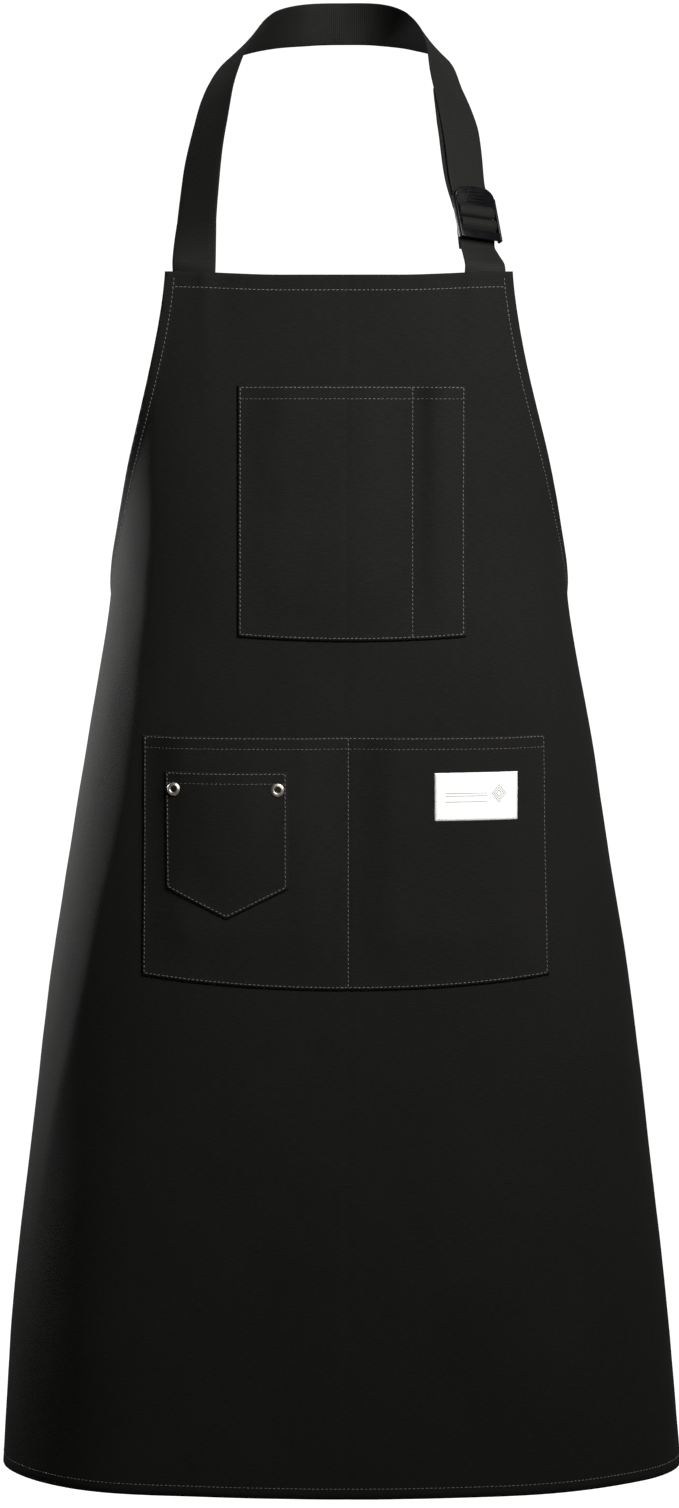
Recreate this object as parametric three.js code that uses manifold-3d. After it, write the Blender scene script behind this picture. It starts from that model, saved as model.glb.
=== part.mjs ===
// Bib apron for an artist: a draped twill panel with a chest pocket, a divided lower pocket and a
// small five-sided pocket, a webbing neck strap with a ladder-lock buckle, and tied waist ties.
// Millimetres. +X is the viewer's right, -Y the front, +Z up. The origin is the inner middle of the
// neck strap, where it rests on the back of the neck.
import * as THREE from 'three';
import { mergeVertices } from 'three/addons/utils/BufferGeometryUtils.js';
import Module from 'manifold-3d';

const wasm = await Module();
wasm.setup();

// ---- Driving dimensions -------------------------------------------------------------------------
const GAP = 0.3;                  // clearance between pieces that touch
const FACET_GAP = 0.7;            // the same between two curved cloths, whose flat facets differ
const BODY_HEIGHT = 839;          // bib top edge above the hem
const WAIST_HEIGHT = 600;         // corner where the skirt starts
const SKIRT_HALF_WIDTH = 352;     // flat, half of the cut width
const BIB_HALF_WIDTH = 120;       // flat, half of the bib's top edge
const CLOTH = 1.2;                // doubled-up twill, the panel's solid thickness
const POCKET_CLOTH = 1.4;
const POCKET_SEAM = 4;            // width of a pocket's sewn edge
const DIVIDER = 4;                // width of the stitched line that divides a pocket

const CHEST_POCKET = { left: -70, right: 87, top: 763, bottom: 591, sag: 3, divider: 50, fullness: 10.4 };
const LOWER_POCKET = { left: -137, right: 146, top: 523, bottom: 358, sag: 9, divider: 6, fullness: 11 };
const SMALL_POCKET = { left: -119, right: -35, top: 499, bottom: 419, point: 21, fullness: 9.4 };

const RIVET_INSET = 7;            // from the small pocket's side edge to the rivet's centre
const RIVET_DROP = 12;            // from the small pocket's top edge to the rivet's centre
const RIVET_CAP_RADIUS = 4.5;
const RIVET_CAP_HEIGHT = 2;
const RIVET_POST_RADIUS = 1.2;
const RIVET_BURR_RADIUS = 4;
const RIVET_BURR_THICKNESS = 1;

const LABEL = { width: 57, height: 33, thickness: 0.7, centre: 93, level: 482 };

const WEBBING = 30;               // width of the neck strap
const WEBBING_THICKNESS = 1.4;
const STRAP_AT = 101;             // strap centre along the bib's top edge, from its middle
const SEWN_END = 27;              // length of strap sewn behind the bib's hem
const FOLD_RISE = 7;              // the straps fold this far above the bib's top edge
const STRAP_TIP = 0.3;            // thickness of the webbing at the fold

const NECK_BACK = 68;             // y of the strap's outer face behind the neck
const NECK_HEIGHT = 191;          // middle of the strap behind the neck, above the bib's top edge
const RIGHT_TURN = 34;            // degrees that the right strap is turned outwards

const BUCKLE_RISE = 35;           // pivot bar of the buckle above the bib's top edge
const BUCKLE_CLEARANCE = 0.4;
const BUCKLE_RAIL = 2.2;
const BUCKLE_DEPTH = 4.4;
const BUCKLE_BAR_RADIUS = 1.5;
const BUCKLE_BAR_PITCH = 10.4;    // from the pivot bar up to the adjuster bar
const BUCKLE_UP = 21;             // rails above the pivot bar
const BUCKLE_DOWN = 12;           // rails below the pivot bar
const BUCKLE_TAB = 14.5;          // height of the thumb tab
const BUCKLE_TAB_THICKNESS = 1.8;
const BUCKLE_TAB_LEAN = 14;       // degrees outwards
const BUCKLE_LIP = 6.5;           // height of the lip under the pivot bar
const LIP_ROOM = 1.4;             // the stub bows back this far, so that the lip can tilt

const TIE_WIDTH = 25;
const TIE_DROP = 4;               // from the waist corner down to the tie's upper edge
const TIE_SEWN = 22;              // length of tie sewn to the waist corner
const KNOT = { halfWidth: 13, halfDepth: 12, halfHeight: 14 };
const LOOP = { reach: 37, halfHeight: 13, droop: 22, width: 20 };
const TAIL = { length: 300, spread: 26, width: 18 };     // gathered a little where it leaves the knot

// The body that the cloth hangs on: [height, half width, half depth] of its rounded-box sections.
const GIRTH = [
  [-60, 246, 155], [0, 241, 152], [112, 232, 147], [255, 216, 140], [349, 205, 134.8],
  [440, 190.5, 129.5], [523, 177.5, 124.5], [600, 163.5, 119.6], [640, 159.5, 117.2], [680, 158.5, 114.8],
  [763, 166, 109.9], [839, 172, 105], [900, 172, 99.5],
];
const SQUARENESS = 3;             // exponent of the rounded-box section: 2 would be an ellipse
const SECTION_STEPS = 240;

// ---- The draped surface -------------------------------------------------------------------------
const WEBBING_REST = CLOTH / 2 + FACET_GAP + WEBBING_THICKNESS / 2;   // panel middle to strap middle

function girthAt(z) {
  const last = GIRTH.length - 2;
  let i = 0;
  while (i < last && z > GIRTH[i + 1][0]) i += 1;
  const t = (z - GIRTH[i][0]) / (GIRTH[i + 1][0] - GIRTH[i][0]);
  const before = GIRTH[Math.max(0, i - 1)];
  const after = GIRTH[Math.min(last + 1, i + 2)];
  const smooth = (column) => {
    const step = GIRTH[i + 1][0] - GIRTH[i][0];
    const slopeIn = (GIRTH[i + 1][column] - before[column]) / (GIRTH[i + 1][0] - before[0]) * step;
    const slopeOut = (after[column] - GIRTH[i][column]) / (after[0] - GIRTH[i][0]) * step;
    const t2 = t * t;
    const t3 = t2 * t;
    return (2 * t3 - 3 * t2 + 1) * GIRTH[i][column] + (t3 - 2 * t2 + t) * slopeIn
      + (3 * t2 - 2 * t3) * GIRTH[i + 1][column] + (t3 - t2) * slopeOut;
  };
  return { a: smooth(1), b: smooth(2) };
}

const sections = new Map();

// Points of one level section from the front middle round to the back middle, with arc lengths.
function sectionAt(z) {
  const key = Math.round(z * 1000);
  if (sections.has(key)) return sections.get(key);
  const { a, b } = girthAt(z);
  const points = [];
  let length = 0;
  for (let i = 0; i <= SECTION_STEPS; i += 1) {
    const angle = Math.PI * i / SECTION_STEPS;
    const reach = (Math.abs(Math.sin(angle) / a) ** SQUARENESS
      + Math.abs(Math.cos(angle) / b) ** SQUARENESS) ** (-1 / SQUARENESS);
    const x = reach * Math.sin(angle);
    const y = -reach * Math.cos(angle);
    if (i > 0) length += Math.hypot(x - points[i - 1].x, y - points[i - 1].y);
    points.push({ x, y, length });
  }
  const section = { a, b, points, half: length };
  sections.set(key, section);
  return section;
}

// The place `along` the cloth from the front middle, at height z, `out` from its middle surface.
function drape(along, z, out = 0) {
  const { a, b, points } = sectionAt(z);
  const side = Math.sign(along) || 1;
  const want = Math.abs(along);
  let low = 0;
  let high = points.length - 1;
  while (high - low > 1) {
    const middle = (low + high) >> 1;
    if (points[middle].length <= want) low = middle;
    else high = middle;
  }
  const t = (want - points[low].length) / (points[high].length - points[low].length);
  const x = THREE.MathUtils.lerp(points[low].x, points[high].x, t);
  const y = THREE.MathUtils.lerp(points[low].y, points[high].y, t);
  const outward = new THREE.Vector2(
    Math.abs(x / a) ** (SQUARENESS - 1) / a,
    Math.sign(y) * Math.abs(y / b) ** (SQUARENESS - 1) / b,
  ).normalize();
  return new THREE.Vector3(side * (x + out * outward.x), y + out * outward.y, z);
}

// The direction that faces straight out of the cloth there.
function outwardAt(along, z) {
  return drape(along, z, 1).sub(drape(along, z, 0)).normalize();
}

// ---- Solids -------------------------------------------------------------------------------------
// A box of the given segments whose points are moved by place(u, v, w), each from 0 to 1.
// u, v and w run along a right-handed set of directions, so the faces keep pointing out.
function bentBox(across, up, deep, place) {
  const geometry = new THREE.BoxGeometry(1, 1, 1, across, up, deep);
  geometry.deleteAttribute('normal');
  geometry.deleteAttribute('uv');
  const position = geometry.getAttribute('position');
  for (let i = 0; i < position.count; i += 1) {
    const point = place(position.getX(i) + 0.5, position.getY(i) + 0.5, position.getZ(i) + 0.5);
    position.setXYZ(i, point.x, point.y, point.z);
  }
  return mergeVertices(geometry, 1e-4);
}

function closed(geometry) {
  const bare = geometry.clone();
  bare.deleteAttribute('normal');
  bare.deleteAttribute('uv');
  return mergeVertices(bare, 1e-4);
}

function toSolid(geometry) {
  const merged = closed(geometry);
  return new wasm.Manifold(new wasm.Mesh({
    numProp: 3,
    vertProperties: new Float32Array(merged.getAttribute('position').array),
    triVerts: new Uint32Array(merged.getIndex().array),
  }));
}

function toGeometry(solid) {
  const mesh = solid.getMesh();
  const geometry = new THREE.BufferGeometry();
  geometry.setAttribute('position', new THREE.BufferAttribute(mesh.vertProperties, 3));
  geometry.setIndex(new THREE.BufferAttribute(mesh.triVerts, 1));
  return geometry;
}

const join = (...geometries) => toGeometry(geometries.map(toSolid).reduce((a, b) => a.add(b)));
const cut = (geometry, ...tools) => toGeometry(tools.map(toSolid).reduce((a, b) => a.subtract(b), toSolid(geometry)));

// Webbing along a list of stations { at, across, thickness }: across points over its width, and the
// face of the webbing is across x along.
function webbing(stations, steps, width = WEBBING) {
  const route = new THREE.CatmullRomCurve3(stations.map((station) => station.at), false, 'centripetal');
  const last = stations.length - 1;
  const frameAt = (v) => {
    const along = route.getTangent(v);
    const i = Math.min(last - 1, Math.floor(v * last));
    const t = v * last - i;
    const across = stations[i].across.clone().lerp(stations[i + 1].across, t);
    across.addScaledVector(along, -across.dot(along)).normalize();
    const thickness = THREE.MathUtils.lerp(stations[i].thickness, stations[i + 1].thickness, t);
    return { at: route.getPoint(v), across, face: across.clone().cross(along), thickness };
  };
  return bentBox(1, steps, 1, (u, v, w) => {
    const frame = frameAt(v);
    return frame.at.clone()
      .addScaledVector(frame.across, (u - 0.5) * width)
      .addScaledVector(frame.face, (w - 0.5) * frame.thickness);
  });
}

// ---- Materials and nodes ------------------------------------------------------------------------
const finish = {
  twill: () => new THREE.MeshStandardMaterial({ color: 0x1e1e1c, roughness: 0.92, metalness: 0 }),
  pocketing: () => new THREE.MeshStandardMaterial({ color: 0x232321, roughness: 0.92, metalness: 0 }),
  webbing: () => new THREE.MeshStandardMaterial({ color: 0x1a1a19, roughness: 0.8, metalness: 0 }),
  acetal: () => new THREE.MeshStandardMaterial({ color: 0x0b0b0c, roughness: 0.25, metalness: 0 }),
  nickel: () => new THREE.MeshStandardMaterial({ color: 0xb9b4ab, roughness: 0.3, metalness: 1 }),
  satin: () => new THREE.MeshStandardMaterial({ color: 0xf2f1ee, roughness: 0.7, metalness: 0 }),
};

// The origin: the inner middle of the strap behind the neck.
const NECK_REST = new THREE.Vector3(0, NECK_BACK - WEBBING_THICKNESS, BODY_HEIGHT + NECK_HEIGHT);

const garment = new THREE.Group();
garment.position.copy(NECK_REST).negate();

function addPiece(name, geometry, material, parent = garment) {
  const mesh = new THREE.Mesh(geometry, material);
  mesh.name = name;
  parent.add(mesh);
  return mesh;
}

// ---- Apron panel --------------------------------------------------------------------------------
const PANEL_COLUMNS = 28;
const SKIRT_ROWS = 14;
const BIB_ROWS = 9;

// Half of the cut width at a height: straight sides on the skirt, then the curved armhole.
function halfWidthAt(z) {
  if (z <= WAIST_HEIGHT) return SKIRT_HALF_WIDTH;
  const down = (BODY_HEIGHT - z) / (BODY_HEIGHT - WAIST_HEIGHT);
  const spread = 1 - (1 - down ** 1.4) ** 0.3;
  return BIB_HALF_WIDTH + (SKIRT_HALF_WIDTH - BIB_HALF_WIDTH) * spread;
}

// Rows crowd together at the waist, where the cloth bends most and the armhole starts.
function rowHeight(v) {
  const row = v * (SKIRT_ROWS + BIB_ROWS);
  if (row <= SKIRT_ROWS) return WAIST_HEIGHT * (1 - (1 - row / SKIRT_ROWS) ** 1.35);
  return WAIST_HEIGHT + (BODY_HEIGHT - WAIST_HEIGHT) * ((row - SKIRT_ROWS) / BIB_ROWS) ** 2;
}

addPiece('apron_panel', bentBox(PANEL_COLUMNS, SKIRT_ROWS + BIB_ROWS, 1, (u, v, w) => {
  const z = rowHeight(v);
  return drape((2 * u - 1) * halfWidthAt(z), z, (w - 0.5) * CLOTH);
}), finish.twill());

// ---- Pockets ------------------------------------------------------------------------------------
// A patch pocket as a shallow tray: its face stands `fullness` off what it is sewn to, and its
// sides, its bottom and its divider are the sewn lines. edge(along) is the height of its bottom.
function patchPocket({ left, right, top, fullness, base, edge, dividers = [], columns }) {
  const block = (from, to, low, high, inner, outer, count) => bentBox(count, 3, 1, (u, v, w) => {
    const along = THREE.MathUtils.lerp(from, to, u);
    return drape(along, THREE.MathUtils.lerp(low(along), high, v), THREE.MathUtils.lerp(inner, outer, w));
  });
  const outer = base + fullness;
  const body = block(left, right, edge, top, base, outer, columns);
  const walls = [left + POCKET_SEAM - DIVIDER / 2, ...dividers, right - POCKET_SEAM + DIVIDER / 2];
  const hollows = walls.slice(1).map((wall, i) => block(
    walls[i] + DIVIDER / 2, wall - DIVIDER / 2, (along) => edge(along) + POCKET_SEAM, top + POCKET_SEAM,
    base - 3, outer - POCKET_CLOTH, columns,
  ));
  return cut(body, ...hollows);
}

// A bottom edge that sags in a shallow curve between its corners.
const saggedEdge = ({ left, right, bottom, sag }) => (along) => {
  const across = (along - left) / (right - left);
  return bottom - sag * 4 * across * (1 - across);
};

// A bottom edge that runs down from both corners to a point in the middle.
const pointedEdge = ({ left, right, bottom, point }) => (along) => {
  const fromMiddle = Math.abs(along - (left + right) / 2) / ((right - left) / 2);
  return bottom - point * (1 - fromMiddle);
};

const POCKET_BASE = CLOTH / 2 + FACET_GAP;
const LOWER_FACE = POCKET_BASE + LOWER_POCKET.fullness;      // outer face of the lower pocket
const SMALL_BASE = LOWER_FACE + FACET_GAP;
const SMALL_FACE = SMALL_BASE + SMALL_POCKET.fullness;

addPiece('chest_pocket', patchPocket({
  ...CHEST_POCKET, base: POCKET_BASE, edge: saggedEdge(CHEST_POCKET), dividers: [CHEST_POCKET.divider], columns: 8,
}), finish.pocketing());

// ---- Rivets -------------------------------------------------------------------------------------
const RIVET_LEVEL = SMALL_POCKET.top - RIVET_DROP;
const rivetPlaces = {
  left: SMALL_POCKET.left + RIVET_INSET,
  right: SMALL_POCKET.right - RIVET_INSET,
};

// Turns a shape made along +Z so that +Z faces straight out of the cloth, `out` from its middle.
function seatOnCloth(geometry, along, z, out) {
  const turn = new THREE.Quaternion().setFromUnitVectors(new THREE.Vector3(0, 0, 1), outwardAt(along, z));
  return geometry.applyQuaternion(turn).translate(...drape(along, z, out).toArray());
}

function disc(radius, from, to, sides = 12) {
  const geometry = new THREE.CylinderGeometry(radius, radius, to - from, sides);
  return geometry.rotateX(Math.PI / 2).translate(0, 0, (from + to) / 2);
}

const postHole = (along, from, to) => seatOnCloth(disc(RIVET_POST_RADIUS + GAP, from, to, 8), along, RIVET_LEVEL, 0);
const rivetHoles = (from, to) => Object.values(rivetPlaces).map((along) => postHole(along, from, to));

const smallSeam = {
  ...SMALL_POCKET, base: SMALL_BASE, edge: pointedEdge(SMALL_POCKET), columns: 6,
};
const rivetPad = (along) => seatOnCloth(
  disc(RIVET_POST_RADIUS + GAP + 1.6, SMALL_BASE, SMALL_FACE - POCKET_CLOTH / 2, 8), along, RIVET_LEVEL, 0,
);

addPiece('lower_pocket', cut(patchPocket({
  ...LOWER_POCKET, base: POCKET_BASE, edge: saggedEdge(LOWER_POCKET), dividers: [LOWER_POCKET.divider], columns: 12,
}), ...rivetHoles(LOWER_FACE - POCKET_CLOTH - 2, LOWER_FACE + 2)), finish.pocketing());

addPiece('small_pocket', cut(
  join(patchPocket(smallSeam), ...Object.values(rivetPlaces).map(rivetPad)),
  ...rivetHoles(SMALL_BASE - 2, SMALL_FACE + 2),
), finish.pocketing());

for (const [side, along] of Object.entries(rivetPlaces)) {
  const burrOuter = LOWER_FACE - POCKET_CLOTH - FACET_GAP - GAP;
  const burrInner = burrOuter - RIVET_BURR_THICKNESS;
  const dome = new THREE.LatheGeometry([
    new THREE.Vector2(0, -RIVET_CAP_HEIGHT / 2),
    new THREE.Vector2(RIVET_CAP_RADIUS, -RIVET_CAP_HEIGHT / 2),
    new THREE.Vector2(RIVET_CAP_RADIUS, -RIVET_CAP_HEIGHT / 6),
    new THREE.Vector2(RIVET_CAP_RADIUS * 0.8, RIVET_CAP_HEIGHT / 2),
    new THREE.Vector2(RIVET_CAP_RADIUS * 0.45, RIVET_CAP_HEIGHT / 2),
    new THREE.Vector2(RIVET_CAP_RADIUS * 0.35, RIVET_CAP_HEIGHT / 5),
    new THREE.Vector2(0, RIVET_CAP_HEIGHT / 5),
  ], 12).rotateX(Math.PI / 2).translate(0, 0, SMALL_FACE + GAP + RIVET_CAP_HEIGHT / 2);
  const post = disc(RIVET_POST_RADIUS, burrOuter + GAP, SMALL_FACE + GAP + RIVET_CAP_HEIGHT / 4, 8);
  addPiece(`${side}_rivet_cap`, seatOnCloth(join(dome, post), along, RIVET_LEVEL, 0), finish.nickel());
  addPiece(`${side}_rivet_burr`, seatOnCloth(
    closed(disc(RIVET_BURR_RADIUS, burrInner, burrOuter)), along, RIVET_LEVEL, 0,
  ), finish.nickel());
}

// ---- Label --------------------------------------------------------------------------------------
const label = addPiece('label', closed(new THREE.BoxGeometry(LABEL.width, LABEL.height, LABEL.thickness)), finish.satin());
// It lies along the cloth, which leans out towards the hem.
const labelUp = drape(LABEL.centre, LABEL.level + LABEL.height / 2).sub(drape(LABEL.centre, LABEL.level - LABEL.height / 2)).normalize();
const labelAcross = labelUp.clone().cross(outwardAt(LABEL.centre, LABEL.level)).normalize();
const labelOut = labelAcross.clone().cross(labelUp);
label.quaternion.setFromRotationMatrix(new THREE.Matrix4().makeBasis(labelAcross, labelUp, labelOut));
label.position.copy(drape(LABEL.centre, LABEL.level, LOWER_FACE + FACET_GAP + LABEL.thickness / 2));

// ---- Neck strap ---------------------------------------------------------------------------------
const FOLD_HEIGHT = BODY_HEIGHT + FOLD_RISE;
const leftBase = drape(-STRAP_AT, BODY_HEIGHT, -WEBBING_REST);
const rightBase = drape(STRAP_AT, BODY_HEIGHT, -WEBBING_REST);
const leftFold = leftBase.clone().setZ(FOLD_HEIGHT);
const rightFold = rightBase.clone().setZ(FOLD_HEIGHT);

// The end of a strap that is sewn behind the bib's hem. Above the hem it turns to face the front.
function sewnEnd(along) {
  const width = WEBBING;
  const top = drape(along, BODY_HEIGHT, -WEBBING_REST);
  return bentBox(2, 3, 1, (u, v, w) => {
    const level = Math.round(v * 3);
    const across = (u - 0.5) * width;
    if (level === 3) {
      return new THREE.Vector3(top.x + across, top.y - (w - 0.5) * STRAP_TIP, FOLD_HEIGHT - GAP);
    }
    const z = [BODY_HEIGHT - SEWN_END, BODY_HEIGHT - SEWN_END / 2, BODY_HEIGHT + GAP][level];
    return drape(along + across, z, -WEBBING_REST + (w - 0.5) * WEBBING_THICKNESS);
  });
}
addPiece('left_strap_end', sewnEnd(-STRAP_AT), finish.webbing());
addPiece('right_strap_end', sewnEnd(STRAP_AT), finish.webbing());

const station = (x, y, rise, across, thickness = WEBBING_THICKNESS) => ({
  at: new THREE.Vector3(x, y, BODY_HEIGHT + rise), across: new THREE.Vector3(...across), thickness,
});

// The right strap and its buckle share one local frame: across the webbing, up along it, and out.
const buckleUp = new THREE.Vector3(-10, 24, 58).normalize();
const turned = THREE.MathUtils.degToRad(RIGHT_TURN);
const buckleOut = new THREE.Vector3(Math.sin(turned), -Math.cos(turned), 0);
buckleOut.addScaledVector(buckleUp, -buckleOut.dot(buckleUp)).normalize();
const buckleAcross = buckleUp.clone().cross(buckleOut);
const buckleAt = rightFold.clone().addScaledVector(buckleUp, (BUCKLE_RISE - FOLD_RISE) / buckleUp.z);

const onBuckle = (up, out) => buckleAt.clone().addScaledVector(buckleUp, up).addScaledVector(buckleOut, out);
const buckleFrame = new THREE.Matrix4().makeBasis(buckleAcross, buckleUp, buckleOut).setPosition(buckleAt);

const RING_INNER = BUCKLE_BAR_RADIUS + BUCKLE_CLEARANCE;
const RING_OUTER = RING_INNER + WEBBING_THICKNESS;
const LOAD_OUT = -(RING_OUTER + GAP + WEBBING_THICKNESS / 2);      // load strap, behind the adjuster bar
const TAIL_OUT = LOAD_OUT + WEBBING_THICKNESS + GAP;               // loose end, in front of it
const rightAcross = buckleAcross.toArray();
const aboveBuckle = BUCKLE_BAR_PITCH + RING_OUTER + BUCKLE_CLEARANCE;

const onStrap = (up, out, across = rightAcross, thickness = WEBBING_THICKNESS) => ({
  at: onBuckle(up, out), across: new THREE.Vector3(...across), thickness,
});
const tip = 2;                                                     // the webbing thins over this length

addPiece('neck_strap', webbing([
  { at: leftFold.clone().add(new THREE.Vector3(0, 0, GAP)), across: new THREE.Vector3(1, 0, 0), thickness: STRAP_TIP },
  { at: leftFold.clone().add(new THREE.Vector3(0, 0.5, GAP + tip)), across: new THREE.Vector3(1, 0, 0), thickness: WEBBING_THICKNESS },
  station(-98.5, -84, 37, [0.92, -0.4, 0]),
  station(-95, -69, 75, [0.82, -0.5, -0.15]),
  station(-90, -50, 107, [0.74, -0.5, -0.35]),
  station(-83, -22, 139, [0.62, -0.45, -0.6]),
  station(-73, 12, 164, [0.45, -0.3, -0.8]),
  station(-53, 46, 181, [0.22, -0.15, -0.95]),
  station(-24, 64, 189, [0.05, -0.05, -1]),
  station(2, NECK_BACK - WEBBING_THICKNESS / 2, NECK_HEIGHT, [0, 0, -1]),
  station(30, 62, 189, [-0.05, -0.05, -1]),
  station(54, 42, 180, [-0.25, -0.1, -0.9]),
  station(70, 8, 163, [-0.55, -0.25, -0.7]),
  station(78.5, -22, 138, [-0.72, -0.4, -0.35]),
  station(86.5, -45, 105, [-0.8, -0.5, -0.1]),
  onStrap(BUCKLE_BAR_PITCH + 22, LOAD_OUT - 0.6, rightAcross.map((value) => -value)),
  onStrap(BUCKLE_BAR_PITCH, LOAD_OUT, rightAcross.map((value) => -value)),
], 46), finish.webbing());

// The loose end lies on the load strap and leaves the buckle upwards.
addPiece('strap_tail', webbing([
  onStrap(aboveBuckle, TAIL_OUT),
  onStrap(BUCKLE_BAR_PITCH + 22, TAIL_OUT + 0.2),
  { ...station(89.2, -48.6, 105, [0.8, 0.5, 0.1]) },
  { ...station(82.6, -27, 136, [0.72, 0.4, 0.35]) },
], 12), finish.webbing());

// The stub is doubled round the pivot bar of the buckle.
const ringAround = (up, outer, inner, length) => {
  const shape = new THREE.Shape().absarc(0, 0, outer, 0, 2 * Math.PI);
  shape.holes.push(new THREE.Path().absarc(0, 0, inner, 0, 2 * Math.PI, true));
  return new THREE.ExtrudeGeometry(shape, { depth: length, bevelEnabled: false, curveSegments: 8 })
    .translate(0, 0, -length / 2).rotateY(Math.PI / 2).translate(0, up, 0).applyMatrix4(buckleFrame);
};
const stubBack = -(RING_OUTER - WEBBING_THICKNESS / 2);
addPiece('strap_stub', join(
  webbing([
    { at: rightFold.clone().add(new THREE.Vector3(0, 0, GAP)), across: new THREE.Vector3(1, 0, 0), thickness: STRAP_TIP },
    { at: rightFold.clone().add(new THREE.Vector3(0, 0.4, GAP + tip)), across: new THREE.Vector3(1, 0, 0), thickness: WEBBING_THICKNESS },
    onStrap(-15, stubBack - LIP_ROOM),
    onStrap(-7, stubBack - LIP_ROOM / 2),
    onStrap(0, stubBack),
  ], 10),
  ringAround(0, RING_OUTER, RING_INNER, WEBBING),
), finish.webbing());

// The turn of the load strap over the adjuster bar.
addPiece('strap_turn', closed(ringAround(BUCKLE_BAR_PITCH, RING_OUTER, RING_INNER, WEBBING)), finish.webbing());

// ---- Buckle -------------------------------------------------------------------------------------
const railInner = WEBBING / 2 + BUCKLE_CLEARANCE;
const railOuter = railInner + BUCKLE_RAIL;
const block = (x0, x1, y0, y1, z0, z1) => new THREE.BoxGeometry(x1 - x0, y1 - y0, z1 - z0)
  .translate((x0 + x1) / 2, (y0 + y1) / 2, (z0 + z1) / 2);
const rail = (side) => {
  const [x0, x1] = side < 0 ? [-railOuter, -railInner] : [railInner, railOuter];
  return block(x0, x1, -BUCKLE_DOWN, BUCKLE_UP, -BUCKLE_DEPTH / 3, BUCKLE_DEPTH * 2 / 3);
};
const roundBar = (up) => new THREE.CylinderGeometry(BUCKLE_BAR_RADIUS, BUCKLE_BAR_RADIUS, 2 * railInner + 1, 8)
  .rotateZ(Math.PI / 2).translate(0, up, 0);
const lipOut = BUCKLE_DEPTH * 2 / 3;
const lip = block(-railInner - 1, railInner + 1, -BUCKLE_DOWN, -BUCKLE_DOWN + BUCKLE_LIP, lipOut - 1.4, lipOut);

// The thumb tab: a plate with round upper corners that leans outwards, over a bar between the rails.
function thumbTab() {
  const half = railInner + BUCKLE_RAIL * 0.9;
  const corner = BUCKLE_TAB * 0.62;
  const shape = new THREE.Shape();
  shape.moveTo(-half, 0);
  shape.lineTo(half, 0);
  shape.lineTo(half - 1.5, BUCKLE_TAB - corner);
  shape.quadraticCurveTo(half - 2.5, BUCKLE_TAB, half - corner * 1.3, BUCKLE_TAB);
  shape.lineTo(-half + corner * 1.3, BUCKLE_TAB);
  shape.quadraticCurveTo(-half + 2.5, BUCKLE_TAB, -half + 1.5, BUCKLE_TAB - corner);
  shape.closePath();
  return new THREE.ExtrudeGeometry(shape, { depth: BUCKLE_TAB_THICKNESS, bevelEnabled: false, curveSegments: 4 })
    .rotateX(THREE.MathUtils.degToRad(BUCKLE_TAB_LEAN))
    .translate(0, BUCKLE_BAR_PITCH + RING_OUTER + BUCKLE_CLEARANCE, TAIL_OUT + WEBBING_THICKNESS / 2 + 2 * BUCKLE_CLEARANCE + 0.6);
}

addPiece('buckle_frame', join(
  rail(-1), rail(1), roundBar(0), roundBar(BUCKLE_BAR_PITCH), lip, thumbTab(),
).applyMatrix4(buckleFrame), finish.acetal());

// ---- Waist ties ---------------------------------------------------------------------------------
const tieTop = WAIST_HEIGHT - TIE_DROP;
const tieMiddle = tieTop - TIE_WIDTH / 2;
const backHalf = sectionAt(tieMiddle).half;
const tieFace = drape(backHalf, tieMiddle, WEBBING_REST + WEBBING_THICKNESS / 2);
const knotAt = tieFace.clone().add(new THREE.Vector3(0, LOOP.width / 2 + 2 * GAP, 0));

function waistTie(side) {
  const from = SKIRT_HALF_WIDTH - TIE_SEWN;
  const to = backHalf - KNOT.halfWidth - 2 * GAP;
  return bentBox(14, 1, 1, (u, v, w) => drape(
    side > 0 ? THREE.MathUtils.lerp(from, to, u) : THREE.MathUtils.lerp(-to, -from, u),
    tieTop - TIE_WIDTH + v * TIE_WIDTH,
    WEBBING_REST + (w - 0.5) * WEBBING_THICKNESS,
  ));
}

function bowLoop(side) {
  const outline = (inset) => new THREE.EllipseCurve(0, 0, LOOP.reach - inset, LOOP.halfHeight - inset, 0, 2 * Math.PI)
    .getPoints(18).slice(0, -1);
  const shape = new THREE.Shape(outline(0));
  shape.holes.push(new THREE.Path(outline(WEBBING_THICKNESS).reverse()));
  return closed(new THREE.ExtrudeGeometry(shape, { depth: LOOP.width, bevelEnabled: false }))
    .rotateX(Math.PI / 2)
    .translate(side * (LOOP.reach + KNOT.halfWidth + 2 * GAP), LOOP.width / 2, 0)
    .rotateY(side * THREE.MathUtils.degToRad(LOOP.droop))
    .translate(knotAt.x, knotAt.y, knotAt.z);
}

// The two loose ends leave the knot one behind the other and hang down side by side.
function tieTail(side) {
  const layer = side < 0 ? -3 : -5.5;
  const nearest = Math.abs(layer) - WEBBING_THICKNESS / 2;
  const knotBottom = KNOT.halfHeight * Math.sqrt(1 - (nearest / KNOT.halfDepth) ** 2);
  const top = knotAt.clone().add(new THREE.Vector3(0, layer, -knotBottom));
  const down = (fall, x, y) => ({
    at: top.clone().add(new THREE.Vector3(side * x, y, -fall)),
    across: new THREE.Vector3(1, 0, 0),
    thickness: WEBBING_THICKNESS,
  });
  const fold = TAIL.length * 0.15;
  const middle = TAIL.length * 0.5;
  const stations = [down(0, 4, 0), down(fold, 10, 0), down(middle, 18, 1), down(TAIL.length, TAIL.spread, 2)];
  return webbing(stations.reverse(), 8, TAIL.width);
}

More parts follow.
